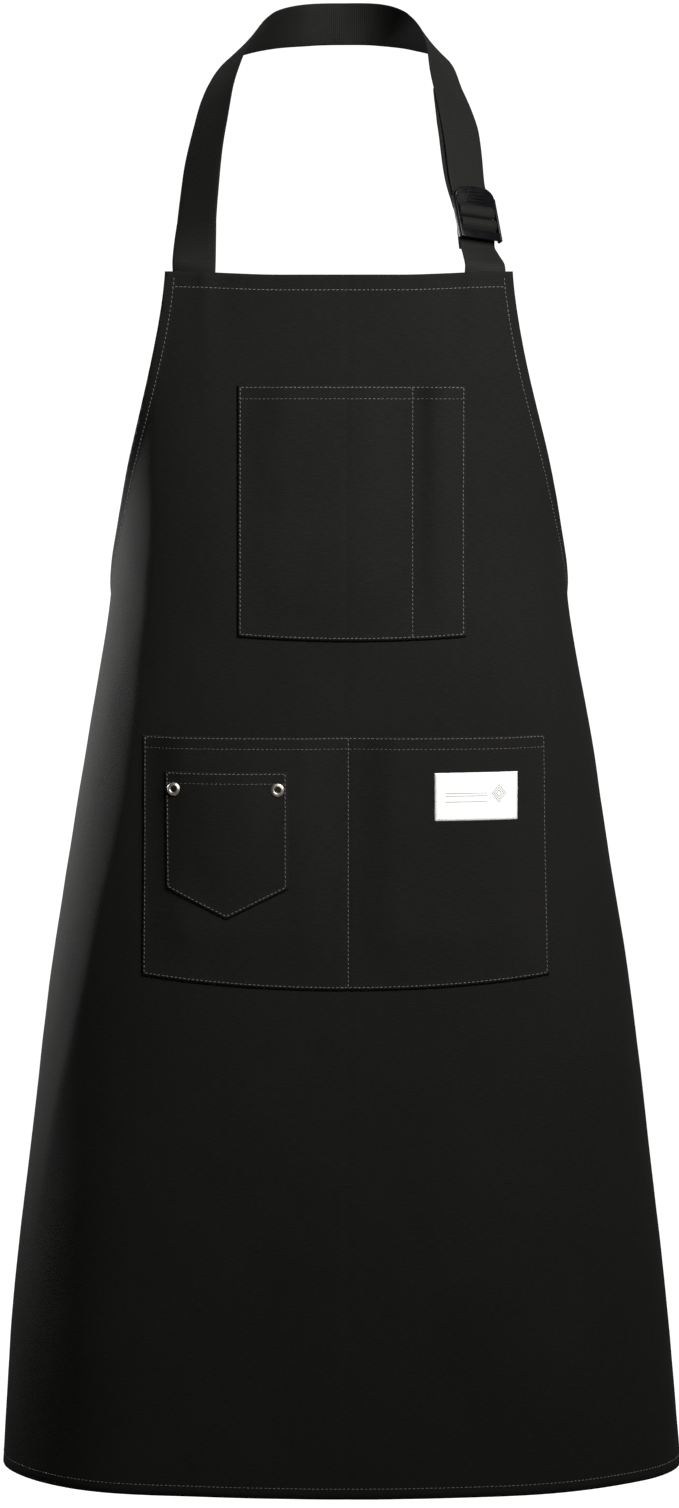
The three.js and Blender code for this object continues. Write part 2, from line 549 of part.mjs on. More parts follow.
for (const [side, name] of [[-1, 'left'], [1, 'right']]) {
  addPiece(`${name}_waist_tie`, waistTie(side), finish.webbing());
  addPiece(`${name}_bow_loop`, bowLoop(side), finish.webbing());
  addPiece(`${name}_tie_tail`, tieTail(side), finish.webbing());
}
addPiece('bow_knot', closed(new THREE.SphereGeometry(1, 12, 8))
  .scale(KNOT.halfWidth, KNOT.halfDepth, KNOT.halfHeight).translate(knotAt.x, knotAt.y, knotAt.z), finish.webbing());

const model = new THREE.Group();
model.add(garment);
export default model;
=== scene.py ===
# %% [markdown]
# # A black bib apron
#
# The real thing is cut from one piece of black twill, hemmed all round, with patch pockets, a
# webbing neck strap, a moulded buckle and two waist ties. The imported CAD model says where
# everything is and how it moves. Here each soft piece is draped again at full detail over the same
# formula that shaped its CAD solid.

# %% Load the frame
import math

import bmesh
import bpy
import numpy as np
from mathutils import Matrix, Vector, noise


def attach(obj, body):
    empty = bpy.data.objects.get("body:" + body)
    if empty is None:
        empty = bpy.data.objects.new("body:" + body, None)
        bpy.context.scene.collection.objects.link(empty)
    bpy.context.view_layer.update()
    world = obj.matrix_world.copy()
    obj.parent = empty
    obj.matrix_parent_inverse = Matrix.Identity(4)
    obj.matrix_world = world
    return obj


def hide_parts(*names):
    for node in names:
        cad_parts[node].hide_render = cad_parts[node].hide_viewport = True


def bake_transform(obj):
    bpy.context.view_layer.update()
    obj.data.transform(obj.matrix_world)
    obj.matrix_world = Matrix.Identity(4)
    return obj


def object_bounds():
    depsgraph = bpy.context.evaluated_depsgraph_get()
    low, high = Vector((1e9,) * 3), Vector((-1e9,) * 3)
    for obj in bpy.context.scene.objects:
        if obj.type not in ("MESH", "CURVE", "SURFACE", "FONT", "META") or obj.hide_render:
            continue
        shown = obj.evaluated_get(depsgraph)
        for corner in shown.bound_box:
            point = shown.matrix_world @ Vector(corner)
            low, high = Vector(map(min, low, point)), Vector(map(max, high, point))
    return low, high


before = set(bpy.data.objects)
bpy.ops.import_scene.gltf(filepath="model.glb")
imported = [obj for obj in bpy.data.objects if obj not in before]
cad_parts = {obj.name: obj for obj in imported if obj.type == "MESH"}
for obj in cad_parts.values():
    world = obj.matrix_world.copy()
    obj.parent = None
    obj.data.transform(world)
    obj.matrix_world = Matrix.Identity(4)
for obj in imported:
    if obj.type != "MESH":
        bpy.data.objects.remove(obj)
cad_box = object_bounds()
MM = 0.001

# %% [markdown]
# ## Sizes
#
# All sizes are in millimetres, in a garment frame whose zero height is the hem and whose zero depth
# is the middle of the body. The row's origin is at the back of the neck, so one shift takes garment
# points to the row.

# %% Sizes
BODY_HEIGHT = 839
WAIST_HEIGHT = 600
SKIRT_HALF_WIDTH = 352
BIB_HALF_WIDTH = 120
WEBBING = 30
WEBBING_THICKNESS = 1.4
NECK_BACK = 68
NECK_HEIGHT = 191
STRAP_AT = 101
SEWN_END = 27
FOLD_RISE = 7
STITCH_PITCH = 3.0
STITCH_LENGTH = 2.3
STITCH_WIDTH = 0.62
CLOTH = 0.8
TAPE_THICKNESS = 1.2
GIRTH = np.array([
    (-60, 246, 155), (0, 241, 152), (112, 232, 147), (255, 216, 140), (349, 205, 134.8),
    (440, 190.5, 129.5), (523, 177.5, 124.5), (600, 163.5, 119.6), (640, 159.5, 117.2),
    (680, 158.5, 114.8), (763, 166, 109.9), (839, 172, 105), (900, 172, 99.5),
])
SQUARENESS = 3
SECTION_STEPS = 240
SHIFT = Vector((0, NECK_BACK - WEBBING_THICKNESS, BODY_HEIGHT + NECK_HEIGHT))


def to_row(point):
    """A garment point in millimetres as a row point in metres."""
    return (Vector(point) - SHIFT) * MM


# %% [markdown]
# ## The drape
#
# Cloth hangs from the chest and the hips, so each level section of the apron is a rounded box, and
# the cloth is laid along it by arc length. That keeps the cloth's width true, as real cloth does,
# where scaling a flat sheet into shape would stretch it. `out` lifts a layer off the cloth's middle
# surface.

# %% The draped surface
def girth_at(z):
    """Half width and half depth of the body at a height, smooth through the stations."""
    last = len(GIRTH) - 2
    i = 0
    while i < last and z > GIRTH[i + 1][0]:
        i += 1
    here, there = GIRTH[i], GIRTH[i + 1]
    before, after = GIRTH[max(0, i - 1)], GIRTH[min(last + 1, i + 2)]
    step = there[0] - here[0]
    t = (z - here[0]) / step
    slope_in = (there[1:] - before[1:]) / (there[0] - before[0]) * step
    slope_out = (after[1:] - here[1:]) / (after[0] - here[0]) * step
    return (
        (2 * t**3 - 3 * t**2 + 1) * here[1:] + (t**3 - 2 * t**2 + t) * slope_in
        + (3 * t**2 - 2 * t**3) * there[1:] + (t**3 - t**2) * slope_out
    )


sections = {}


def section_at(z):
    """Arc lengths and points of one level section, from the front middle to the back middle."""
    key = round(z * 4)
    if key not in sections:
        a, b = girth_at(key / 4)
        angle = np.linspace(0, math.pi, SECTION_STEPS + 1)
        across, deep = np.abs(np.sin(angle) / a), np.abs(np.cos(angle) / b)
        reach = (across**SQUARENESS + deep**SQUARENESS) ** (-1 / SQUARENESS)
        x, y = reach * np.sin(angle), -reach * np.cos(angle)
        lengths = np.concatenate([[0], np.cumsum(np.hypot(np.diff(x), np.diff(y)))])
        sections[key] = (a, b, lengths, x, y)
    return sections[key]


def drape(along, z, out=0.0):
    """Garment point `along` the cloth from the front middle, at height z, `out` from its middle."""
    a, b, lengths, xs, ys = section_at(z)
    x = float(np.interp(abs(along), lengths, xs))
    y = float(np.interp(abs(along), lengths, ys))
    steepness = SQUARENESS - 1
    outward = Vector((abs(x / a) ** steepness / a, math.copysign(abs(y / b) ** steepness, y) / b, 0))
    outward.normalize()
    side = -1 if along < 0 else 1
    return Vector((side * (x + out * outward.x), y + out * outward.y, z))


def smooth(low, high, value):
    """0 below low, 1 above high and a soft step between."""
    t = min(1.0, max(0.0, (value - low) / (high - low)))
    return t * t * (3 - 2 * t)


for level in (0, WAIST_HEIGHT):
    print(f"a full turn round the body at {level} mm: {2 * section_at(level)[2][-1]:.0f} mm")

# %% [markdown]
# ## Helpers
#
# A finished piece is one mesh at the origin. `new_piece` turns a bmesh into an object, gives it its
# material, attaches it to the body it rides on and hides the CAD parts it stands for. A sheet starts as a
# flat grid, whose points are then placed on the drape, which is how a draped cloth is cut: flat first,
# shaped after.

# %% Helpers for pieces
def new_piece(name, bm, material, body, replaced=(), thickness=0.0):
    """The finished object: body is None for a piece that is attached to no body."""
    mesh = bpy.data.meshes.new(name)
    bm.to_mesh(mesh)
    bm.free()
    piece = bpy.data.objects.new(name, mesh)
    bpy.context.scene.collection.objects.link(piece)
    mesh.materials.append(material)
    mesh.polygons.foreach_set("use_smooth", [True] * len(mesh.polygons))
    if thickness:
        wall = piece.modifiers.new("thickness", "SOLIDIFY")
        wall.thickness = thickness * MM
        wall.offset = 0
        wall.use_even_offset = False
    if body:
        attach(piece, body)
    if replaced:
        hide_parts(*replaced)
    return piece


def sheet_mesh(columns, rows, place, flat_at):
    """A grid with its points at place(u, v) and its UV map, in metres of flat cloth, from flat_at."""
    bm = bmesh.new()
    bmesh.ops.create_grid(bm, x_segments=columns, y_segments=rows, size=1)
    uv = bm.loops.layers.uv.new("cloth")
    spots = {vert: ((vert.co.x + 1) / 2, (vert.co.y + 1) / 2) for vert in bm.verts}
    for face in bm.faces:
        for loop in face.loops:
            along, up = flat_at(*spots[loop.vert])
            loop[uv].uv = (along * MM, up * MM)
    for vert, (u, v) in spots.items():
        vert.co = to_row(place(u, v))
    return bm


def blend_between(low, high, t):
    return low + (high - low) * t


# %% [markdown]
# ## Finishes
#
# Each material starts from what the real one is. Patterns read the cloth's own UV map, which is in
# metres, so a weave's pitch is its real pitch. One function adds a node with its settings and
# links; one turns sRGB hex to linear.

# %% Helpers for materials
def linear(hex_colour):
    """sRGB hex as linear RGBA."""
    channels = [int(hex_colour[i:i + 2], 16) / 255 for i in (1, 3, 5)]
    return [c / 12.92 if c <= 0.04045 else ((c + 0.055) / 1.055) ** 2.4 for c in channels] + [1.0]


def add(tree, kind, settings=None, **links):
    """One shader node. settings are its properties and socket values; links are sockets it reads from."""
    node = tree.nodes.new(kind)
    for key, value in (settings or {}).items():
        if key in node.inputs:
            node.inputs[key].default_value = value
        elif key.isdigit():
            node.inputs[int(key)].default_value = value
        else:
            setattr(node, key, value)
    for key, source in links.items():
        numbered = key[0] == "n" and key[1:].isdigit()
        tree.links.new(source, node.inputs[int(key[1:]) if numbered else key.replace("_", " ")])
    return node


def new_material(name, hex_colour, roughness, **shader_values):
    """A material, its node tree and its shader, with what is the same all over set on the shader."""
    material = bpy.data.materials.new(name)
    material.use_nodes = True
    tree = material.node_tree
    shader = tree.nodes["Principled BSDF"]
    shader.inputs["Base Color"].default_value = linear(hex_colour)
    shader.inputs["Roughness"].default_value = roughness
    for key, value in shader_values.items():
        shader.inputs[key.replace("_", " ")].default_value = value
    return material, tree, shader


# %% [markdown]
# ### Black cotton twill
#
# Twill carries its weft over two or three warps and steps sideways each time, which draws fine
# diagonal ridges. The real pitch is about 0.6 mm, too fine to show at this distance, so the ridges
# are drawn at 1.5 mm. Yarns differ a little in thickness, which mottles the black over a few
# millimetres, and dye takes unevenly over a hand's width. Loose fibres give the cloth a faint grey
# sheen at an angle. Blender's wave texture turns once in 2 pi / 20 of its own units, so a real
# pitch in metres divides that number.

# %% Twill
TWILL_PITCH = 1.5
TWILL_ANGLE = 56
YARN_UNEVENNESS = 5.9
SHADE_PATCH = 71
WAVES_PER_TURN = 2 * math.pi / 20


def twill(name, dark, light, sheen):
    material, tree, shader = new_material(
        name, dark, 0.9, Sheen_Weight=sheen, Sheen_Roughness=0.5, Sheen_Tint=linear("#9a9a96"),
        Specular_IOR_Level=0.12,
    )
    uv = add(tree, "ShaderNodeUVMap", {"uv_map": "cloth"}).outputs["UV"]
    turned = add(
        tree, "ShaderNodeMapping", {"Rotation": (0, 0, math.radians(TWILL_ANGLE))}, Vector=uv,
    ).outputs["Vector"]
    ridges = add(
        tree, "ShaderNodeTexWave",
        {"wave_type": "BANDS", "bands_direction": "X", "Scale": WAVES_PER_TURN / (TWILL_PITCH * MM),
         "Distortion": 0.8, "Detail": 2.0, "Detail Scale": 0.6}, Vector=turned,
    ).outputs["Fac"]
    slubs = add(tree, "ShaderNodeMapping", {"Scale": (1, 6, 1)}, Vector=uv).outputs["Vector"]
    yarn = add(
        tree, "ShaderNodeTexNoise",
        {"Scale": 1 / (YARN_UNEVENNESS * MM), "Detail": 4, "Roughness": 0.65}, Vector=slubs,
    ).outputs["Fac"]
    cloud = add(
        tree, "ShaderNodeTexNoise", {"Scale": 1 / (SHADE_PATCH * MM), "Detail": 3}, Vector=uv,
    ).outputs["Fac"]
    woven = add(tree, "ShaderNodeMath", {"operation": "MULTIPLY_ADD", "1": 0.45}, n0=ridges, n2=yarn)
    tone = add(
        tree, "ShaderNodeMath", {"operation": "MULTIPLY_ADD", "1": 0.35}, n0=cloud, n2=woven.outputs[0],
    ).outputs[0]
    ramp = add(
        tree, "ShaderNodeMapRange", {"From Min": 0.45, "From Max": 1.25}, Value=tone,
    ).outputs["Result"]
    colour = add(
        tree, "ShaderNodeMix", {"data_type": "RGBA", "6": linear(dark), "7": linear(light)}, n0=ramp,
    ).outputs[2]
    tree.links.new(colour, shader.inputs["Base Color"])
    height = add(tree, "ShaderNodeMath", {"operation": "MULTIPLY_ADD", "1": 0.5}, n0=ridges, n2=yarn)
    bump = add(
        tree, "ShaderNodeBump", {"Strength": 0.5, "Distance": 0.4 * MM}, Height=height.outputs[0],
    ).outputs["Normal"]
    tree.links.new(bump, shader.inputs["Normal"])
    return material


BODY_TWILL = twill("black_cotton_twill", "#0f0f0e", "#1c1c1a", 0.03)
POCKET_TWILL = twill("black_cotton_twill_pocketing", "#100f0e", "#1e1e1c", 0.03)
print("cloths:", BODY_TWILL.name, POCKET_TWILL.name)

# %% [markdown]
# ### Webbing, tape and thread
#
# Polypropylene webbing is woven in ribs across its width, about 1.4 mm apart, crossed by slightly
# finer warps. Cotton tape is softer, duller and a little finer. The thread for topstitching is spun
# polyester, a warm grey against the black. Ribs and warps are two wave textures added together,
# which also give the bump its height.

# %% Webbing, tape and thread
FLECK = 3.3


def woven_band(name, dark, light, pitch, roughness, sheen):
    """Webbing or tape, with its ribs pitch millimetres apart."""
    material, tree, shader = new_material(
        name, dark, roughness, Sheen_Weight=sheen, Sheen_Roughness=0.4, Sheen_Tint=linear("#a0a09c"),
        Specular_IOR_Level=0.15,
    )
    uv = add(tree, "ShaderNodeUVMap", {"uv_map": "cloth"}).outputs["UV"]
    ribs = add(
        tree, "ShaderNodeTexWave",
        {"wave_type": "BANDS", "bands_direction": "Y", "Scale": WAVES_PER_TURN / (pitch * MM),
         "Distortion": 0.5, "Detail": 1.0}, Vector=uv,
    ).outputs["Fac"]
    warps = add(
        tree, "ShaderNodeTexWave",
        {"wave_type": "BANDS", "bands_direction": "X", "Scale": WAVES_PER_TURN / (pitch * 0.8 * MM)},
        Vector=uv,
    ).outputs["Fac"]
    weave = add(
        tree, "ShaderNodeMath", {"operation": "MULTIPLY_ADD", "1": 0.5}, n0=warps, n2=ribs,
    ).outputs[0]
    yarn = add(
        tree, "ShaderNodeTexNoise", {"Scale": 1 / (FLECK * MM), "Detail": 3}, Vector=uv,
    ).outputs["Fac"]
    tone = add(tree, "ShaderNodeMath", {"operation": "MULTIPLY_ADD", "1": 0.5}, n0=yarn, n2=weave)
    ramp = add(
        tree, "ShaderNodeMapRange", {"From Min": 0.2, "From Max": 1.8}, Value=tone.outputs[0],
    ).outputs["Result"]
    colour = add(
        tree, "ShaderNodeMix", {"data_type": "RGBA", "6": linear(dark), "7": linear(light)}, n0=ramp,
    ).outputs[2]
    tree.links.new(colour, shader.inputs["Base Color"])
    bump = add(
        tree, "ShaderNodeBump", {"Strength": 0.3, "Distance": 0.4 * MM}, Height=weave,
    ).outputs["Normal"]
    tree.links.new(bump, shader.inputs["Normal"])
    return material


STRAP_WEBBING = woven_band("black_polypropylene_webbing", "#0f0f0e", "#191917", 1.4, 0.7, 0.04)
TIE_TAPE = woven_band("black_cotton_tape", "#0f0f0e", "#1e1e1c", 1.3, 0.85, 0.04)
THREAD, _, _ = new_material("grey_polyester_thread", "#5c5c58", 0.7, Sheen_Weight=0.2)
print("woven bands:", STRAP_WEBBING.name, TIE_TAPE.name)

# %% [markdown]
# ### Acetal, nickel and satin
#
# The buckle is injection-moulded acetal, slightly waxy and glossy, with faint flow marks. The
# rivets are nickel-plated brass, warm in their tone and a little rubbed. The label is white woven
# satin.

# %% Acetal, nickel and satin
FLOW_MARK, RUB_MARK, WEFT_PITCH = 4.5, 1.4, 0.9


def acetal():
    material, tree, shader = new_material(
        "black_moulded_acetal", "#060608", 0.25, IOR=1.48, Specular_IOR_Level=0.3,
    )
    place = add(tree, "ShaderNodeTexCoord").outputs["Object"]
    flow = add(
        tree, "ShaderNodeTexNoise", {"Scale": 1 / (FLOW_MARK * MM), "Detail": 3}, Vector=place,
    ).outputs["Fac"]
    rough = add(tree, "ShaderNodeMapRange", {"To Min": 0.2, "To Max": 0.42}, Value=flow).outputs["Result"]
    tree.links.new(rough, shader.inputs["Roughness"])
    bump = add(
        tree, "ShaderNodeBump", {"Strength": 0.15, "Distance": 0.2 * MM}, Height=flow,
    ).outputs["Normal"]
    tree.links.new(bump, shader.inputs["Normal"])
    return material


def plated(name, hex_colour, dull):
    """Plated metal, dull and rougher where it is rubbed."""
    material, tree, shader = new_material(name, hex_colour, 0.25, Metallic=1.0)
    place = add(tree, "ShaderNodeTexCoord").outputs["Object"]
    wear = add(
        tree, "ShaderNodeTexNoise", {"Scale": 1 / (RUB_MARK * MM), "Detail": 5, "Roughness": 0.6},
        Vector=place,
    ).outputs["Fac"]
    rough = add(tree, "ShaderNodeMapRange", {"To Min": 0.3, "To Max": 0.6}, Value=wear).outputs["Result"]
    tree.links.new(rough, shader.inputs["Roughness"])
    colour = add(
        tree, "ShaderNodeMix", {"data_type": "RGBA", "6": linear(hex_colour), "7": linear(dull)}, n0=wear,
    ).outputs[2]
    tree.links.new(colour, shader.inputs["Base Color"])
    return material


def woven_satin():
    material, tree, shader = new_material("white_woven_satin", "#f8f8f6", 0.55, Sheen_Weight=0.3)
    uv = add(tree, "ShaderNodeUVMap", {"uv_map": "cloth"}).outputs["UV"]
    weft = add(
        tree, "ShaderNodeTexWave",
        {"wave_type": "BANDS", "bands_direction": "Y", "Scale": WAVES_PER_TURN / (WEFT_PITCH * MM)},
        Vector=uv,
    ).outputs["Fac"]
    colour = add(
        tree, "ShaderNodeMix",
        {"data_type": "RGBA", "6": linear("#f4f4f1"), "7": linear("#fcfcfa")}, n0=weft,
    ).outputs[2]
    tree.links.new(colour, shader.inputs["Base Color"])
    bump = add(
        tree, "ShaderNodeBump", {"Strength": 0.3, "Distance": 0.2 * MM}, Height=weft,
    ).outputs["Normal"]
    tree.links.new(bump, shader.inputs["Normal"])
    return material


ACETAL = acetal()
NICKEL = plated("nickel_plated_brass", "#e6e1d6", "#b5ada0")
RECESS = plated("oxidised_brass", "#4a4038", "#2c2622")
SATIN = woven_satin()
WHITE_THREAD, _, _ = new_material("white_polyester_thread", "#f2f1ee", 0.7, Sheen_Weight=0.2)
EMBROIDERY, _, _ = new_material("grey_embroidery_thread", "#6a625e", 0.7, Sheen_Weight=0.2)
print("finishes:", ACETAL.name, NICKEL.name, RECESS.name, SATIN.name)

# %% [markdown]
# ## The cloth's own shape
#
# Over the plain drape lie the small things that make cloth look like cloth: the corners of the bib
# lifted by the straps, a pair of soft creases under each strap, long shallow folds that open
# towards the hem, a faint fold line down the middle from storage, and slight unevenness everywhere.

# %% Folds and creases
def half_width_at(z):
    """Half the cut's width: straight up to the waist, then curving in along the armhole to the bib."""
    if z <= WAIST_HEIGHT:
        return SKIRT_HALF_WIDTH
    down = min(1.0, max(0.0, (BODY_HEIGHT - z) / (BODY_HEIGHT - WAIST_HEIGHT)))
    return BIB_HALF_WIDTH + (SKIRT_HALF_WIDTH - BIB_HALF_WIDTH) * (1 - (1 - down**1.4) ** 0.3)


# One fold runs up the left side: (height, distance along the cloth).
SIDE_FOLD = np.array([(150, 238), (239, 216), (342, 185), (411, 169), (480, 150), (658, 133), (839, 128)])


def relief(along, z):
    """How far the cloth stands off the plain drape, in millimetres."""
    below_bib = BODY_HEIGHT - z
    strap_pull = math.exp(-((abs(along) - 92) / 6) ** 2) - 0.7 * math.exp(-((abs(along) - 80) / 8) ** 2)
    creases = 1.5 * strap_pull * math.exp(-below_bib / 42)
    open_hem = smooth(430, 20, z)
    folds = open_hem * (1.9 * math.cos(along / 23 + 0.4) + 1.6 * math.cos(along / 37 - 1.1 + z / 260))
    quiet_middle = 0.35 + 0.65 * smooth(60, 210, abs(along))
    storage_fold = -0.35 * math.exp(-((along - 5) / 2.2) ** 2)
    from_ridge = -along - float(np.interp(z, SIDE_FOLD[:, 0], SIDE_FOLD[:, 1]))
    ridge = 3.0 * math.exp(-math.hypot(from_ridge, 2.5) / 20) * smooth(120, 300, z)
    flare = 1.5 * smooth(8, 0, half_width_at(z) - abs(along)) * smooth(WAIST_HEIGHT, WAIST_HEIGHT + 30, z)
    uneven = 1.3 * noise.noise(Vector((along / 85, z / 120, 3.1)))
    uneven += 0.35 * noise.noise(Vector((along / 24, z / 34, 7.7)))
    return creases + folds * quiet_middle + storage_fold + ridge + flare + uneven


def lift(along, z):
    """How far the straps lift the bib's corners and the hem sags, in millimetres."""
    corner = 2.6 * smooth(40, 118, abs(along)) * smooth(770, BODY_HEIGHT, z)
    return corner - 1.2 * smooth(60, 0, z) * (1 - smooth(0, 200, abs(along)))


def on_cloth(along, z, out=0.0):
    """A garment point on the apron as it really lies."""
    point = drape(along, z, relief(along, z) + out)
    point.z += lift(along, z)
    return point


print("the bib's corner lies at", [round(v, 3) for v in to_row(on_cloth(BIB_HALF_WIDTH, BODY_HEIGHT))])

# %% [markdown]
# ## The panel
#
# The panel is cut from one rectangle of cloth, so it starts as one regular grid. Points outside the
# armholes are pulled in to the cut edge and merged there, which leaves an even weave inside and a
# clean edge. The rows crowd together just above the waist, where the armhole's edge runs nearly
# level. Solidify gives the twill's thickness.

# %% Panel
PANEL_COLUMNS = 240
row_heights = np.concatenate([
    np.linspace(0, WAIST_HEIGHT, 130), WAIST_HEIGHT + np.geomspace(0.3, 30, 26),
    np.linspace(WAIST_HEIGHT + 33, BODY_HEIGHT, 64),
])
PANEL_ROWS = len(row_heights) - 1


def on_panel(u, v):
    z = float(row_heights[round(v * PANEL_ROWS)])
    along = (2 * u - 1) * SKIRT_HALF_WIDTH
    return math.copysign(min(abs(along), half_width_at(z)), along), z


panel_bm = sheet_mesh(PANEL_COLUMNS, PANEL_ROWS, lambda u, v: on_cloth(*on_panel(u, v)), on_panel)
bmesh.ops.remove_doubles(panel_bm, verts=panel_bm.verts, dist=1e-6)
panel = new_piece("panel", panel_bm, BODY_TWILL, "apron", ["apron_panel"], thickness=CLOTH)

# %% [markdown]
# ### Hems
#
# A real hem is the cloth's own edge folded over and sewn. Folding the panel's mesh over itself
# would make sharp, crossing walls, so each hem is a separate narrow strip that lies just inside the
# panel and follows the same cut.

# %% Hems
HEM_INNER = -(CLOTH / 2 + 0.55)
EDGE_GAP = 0.5
BIB_HEM, BOTTOM_HEM, SIDE_HEM = 10, 7.5, 7


def edge_point(t):
    """The cut's right-hand edge from the hem (t=0) to the bib's top corner (t=1): (along, z)."""
    z = BODY_HEIGHT * t
    return half_width_at(z), z


def edge_inwards(t, inset):
    """The same point moved into the cloth by inset, square to the edge."""
    step = 0.002
    low = Vector(edge_point(max(0, t - step)))
    high = Vector(edge_point(min(1, t + step)))
    run = (high - low).normalized()
    return Vector(edge_point(t)) + Vector((-run.y, run.x)) * inset


def hem_strip(name, rows, place, width, length):
    """A strip whose flat size, width by length, sets the scale of its weave."""
    bm = sheet_mesh(3, rows, place, lambda u, v: (u * width, v * length))
    return new_piece(name, bm, BODY_TWILL, "apron", thickness=CLOTH)


def bib_hem_place(u, v):
    return on_cloth((2 * v - 1) * (BIB_HALF_WIDTH - 1), BODY_HEIGHT - EDGE_GAP - BIB_HEM * u, HEM_INNER)


def bottom_hem_place(u, v):
    return on_cloth((2 * v - 1) * (SKIRT_HALF_WIDTH - 1), EDGE_GAP + BOTTOM_HEM * (1 - u), HEM_INNER)


def side_hem(side, side_name):
    def place(u, v):
        along, z = edge_inwards(0.01 + 0.98 * v, EDGE_GAP + SIDE_HEM * u)
        return on_cloth(side * along, z, HEM_INNER)
    return hem_strip(f"{side_name}_side_hem", 240, place, SIDE_HEM, 1100)


hems = [
    hem_strip("bib_hem", 120, bib_hem_place, BIB_HEM, 2 * BIB_HALF_WIDTH),
    hem_strip("bottom_hem", 240, bottom_hem_place, 8, 700),
    side_hem(-1, "left"),
    side_hem(1, "right"),
]
print("hems:", len(hems))

# %% [markdown]
# ## Pockets
#
# A patch pocket is a sheet with its edges turned under and sewn down on three sides. Between the
# seams the cloth stands off a little, most at the mouth, and a divider seam pulls it back down. So
# its height off the apron is a product of two smooth curves, one across each compartment and one
# from the bottom to the mouth.

# %% Pocket shapes
CHEST = {
    "left": -70, "right": 87, "top": 763, "bottom": 591,
    "sag": 3, "dividers": [50], "belly": 4.6, "hem": 9,
}
LOWER = {
    "left": -137, "right": 146, "top": 523, "bottom": 358,
    "sag": 9, "dividers": [6], "belly": 5.6, "hem": 8.5,
}
SMALL = {
    "left": -119, "right": -35, "top": 499, "bottom": 419,
    "point": 21, "dividers": [], "belly": 3.4, "hem": 8,
}
EDGE_LIFT = 1.3
SEAM_DEPTH = 1.15


def bottom_edge(pocket, along):
    """The height of a pocket's lower edge, which sags in the middle or runs to a point."""
    share = (along - pocket["left"]) / (pocket["right"] - pocket["left"])
    if "point" in pocket:
        return pocket["bottom"] - pocket["point"] * (1 - abs(2 * share - 1))
    return pocket["bottom"] - pocket["sag"] * 4 * share * (1 - share)


def pocket_lift(pocket, along, z):
    """How far the pocket's cloth stands off what it is sewn to."""
    walls = [pocket["left"], *pocket["dividers"], pocket["right"]]
    low, high = next((pair for pair in zip(walls, walls[1:]) if along <= pair[1]), (walls[-2], walls[-1]))
    to_wall = min(along - low, high - along)
    to_bottom = z - bottom_edge(pocket, along)
    across = smooth(2.5, min(34, (high - low) * 0.45), to_wall)
    opening = smooth(0, pocket["top"] - pocket["bottom"], to_bottom)
    upwards = smooth(2.5, 40, to_bottom) * (0.45 + 0.55 * opening)
    edge = min(along - pocket["left"], pocket["right"] - along, to_bottom)
    turned_edge = EDGE_LIFT * smooth(-0.5, 1.4, edge) + 0.25 * math.exp(-((edge - 1.4) / 1.0) ** 2)
    divider_seam = sum(-0.35 * math.exp(-((along - wall) / 1.4) ** 2) for wall in pocket["dividers"])
    return 0.55 + turned_edge * SEAM_DEPTH / EDGE_LIFT + divider_seam + pocket["belly"] * across * upwards


def on_lower(along, z, out=0.0):
    return on_cloth(along, z, pocket_lift(LOWER, along, z) + out)


def on_chest(along, z, out=0.0):
    return on_cloth(along, z, pocket_lift(CHEST, along, z) + out)


def on_small(along, z, out=0.0):
    return on_lower(along, z, pocket_lift(SMALL, along, z) + out)


def patch(name, pocket, surface, replaced, columns, rows):
    """The pocket's cloth with the strip that is turned under at its mouth."""
    width, height = pocket["right"] - pocket["left"], pocket["top"] - pocket["bottom"]

    def flat(u, v):
        along = blend_between(pocket["left"], pocket["right"], u)
        return along, blend_between(bottom_edge(pocket, along), pocket["top"], v)

    def hem_place(u, v):
        along = blend_between(pocket["left"] + 1.5, pocket["right"] - 1.5, u)
        return surface(along, pocket["top"] - 0.4 - pocket["hem"] * v, -0.9)

    bm = sheet_mesh(columns, rows, lambda u, v: surface(*flat(u, v)), flat)
    piece = new_piece(name, bm, POCKET_TWILL, "apron", [replaced], thickness=CLOTH)
    hem_bm = sheet_mesh(columns, 3, hem_place, lambda u, v: (u * width, v * pocket["hem"]))
    hem = new_piece(f"{name}_hem", hem_bm, POCKET_TWILL, "apron", thickness=CLOTH)


patch("chest_patch", CHEST, on_chest, "chest_pocket", 100, 100)
patch("lower_patch", LOWER, on_lower, "lower_pocket", 170, 100)
patch("small_patch", SMALL, on_small, "small_pocket", 64, 64)

# %% [markdown]
# ## Topstitching
#
# Each visible stitch is a short grey dash of thread that dips into the cloth at both ends. One
# small closed capsule, a stretched sphere, is made once, and a copy of it is laid at each stitch
# along a seam, square to the cloth and turned a little, as the lock of a lockstitch turns it. A
# seam is a path on a surface: points of (along, z), and the surface function that puts them in
# space. Thousands of stitches need only a few faces each.

# %% Stitches
SEAM_RISE, HEM_LINE_RISE, PANEL_SEAM_RISE, LABEL_SEAM_RISE = 0.45, 0.36, 0.42, 0.2
SEAM_INSET = 2.0
STITCH_SLANT = 0.10


def one_stitch():
    """A small closed capsule along X, one unit long each way."""
    bm = bmesh.new()
    bmesh.ops.create_uvsphere(
        bm, u_segments=6, v_segments=4, radius=1, matrix=Matrix.Rotation(math.pi / 2, 4, "Y"),
    )
    mesh = bpy.data.meshes.new("one_stitch")
    bm.to_mesh(mesh)
    bm.free()
    return mesh


STITCH = one_stitch()


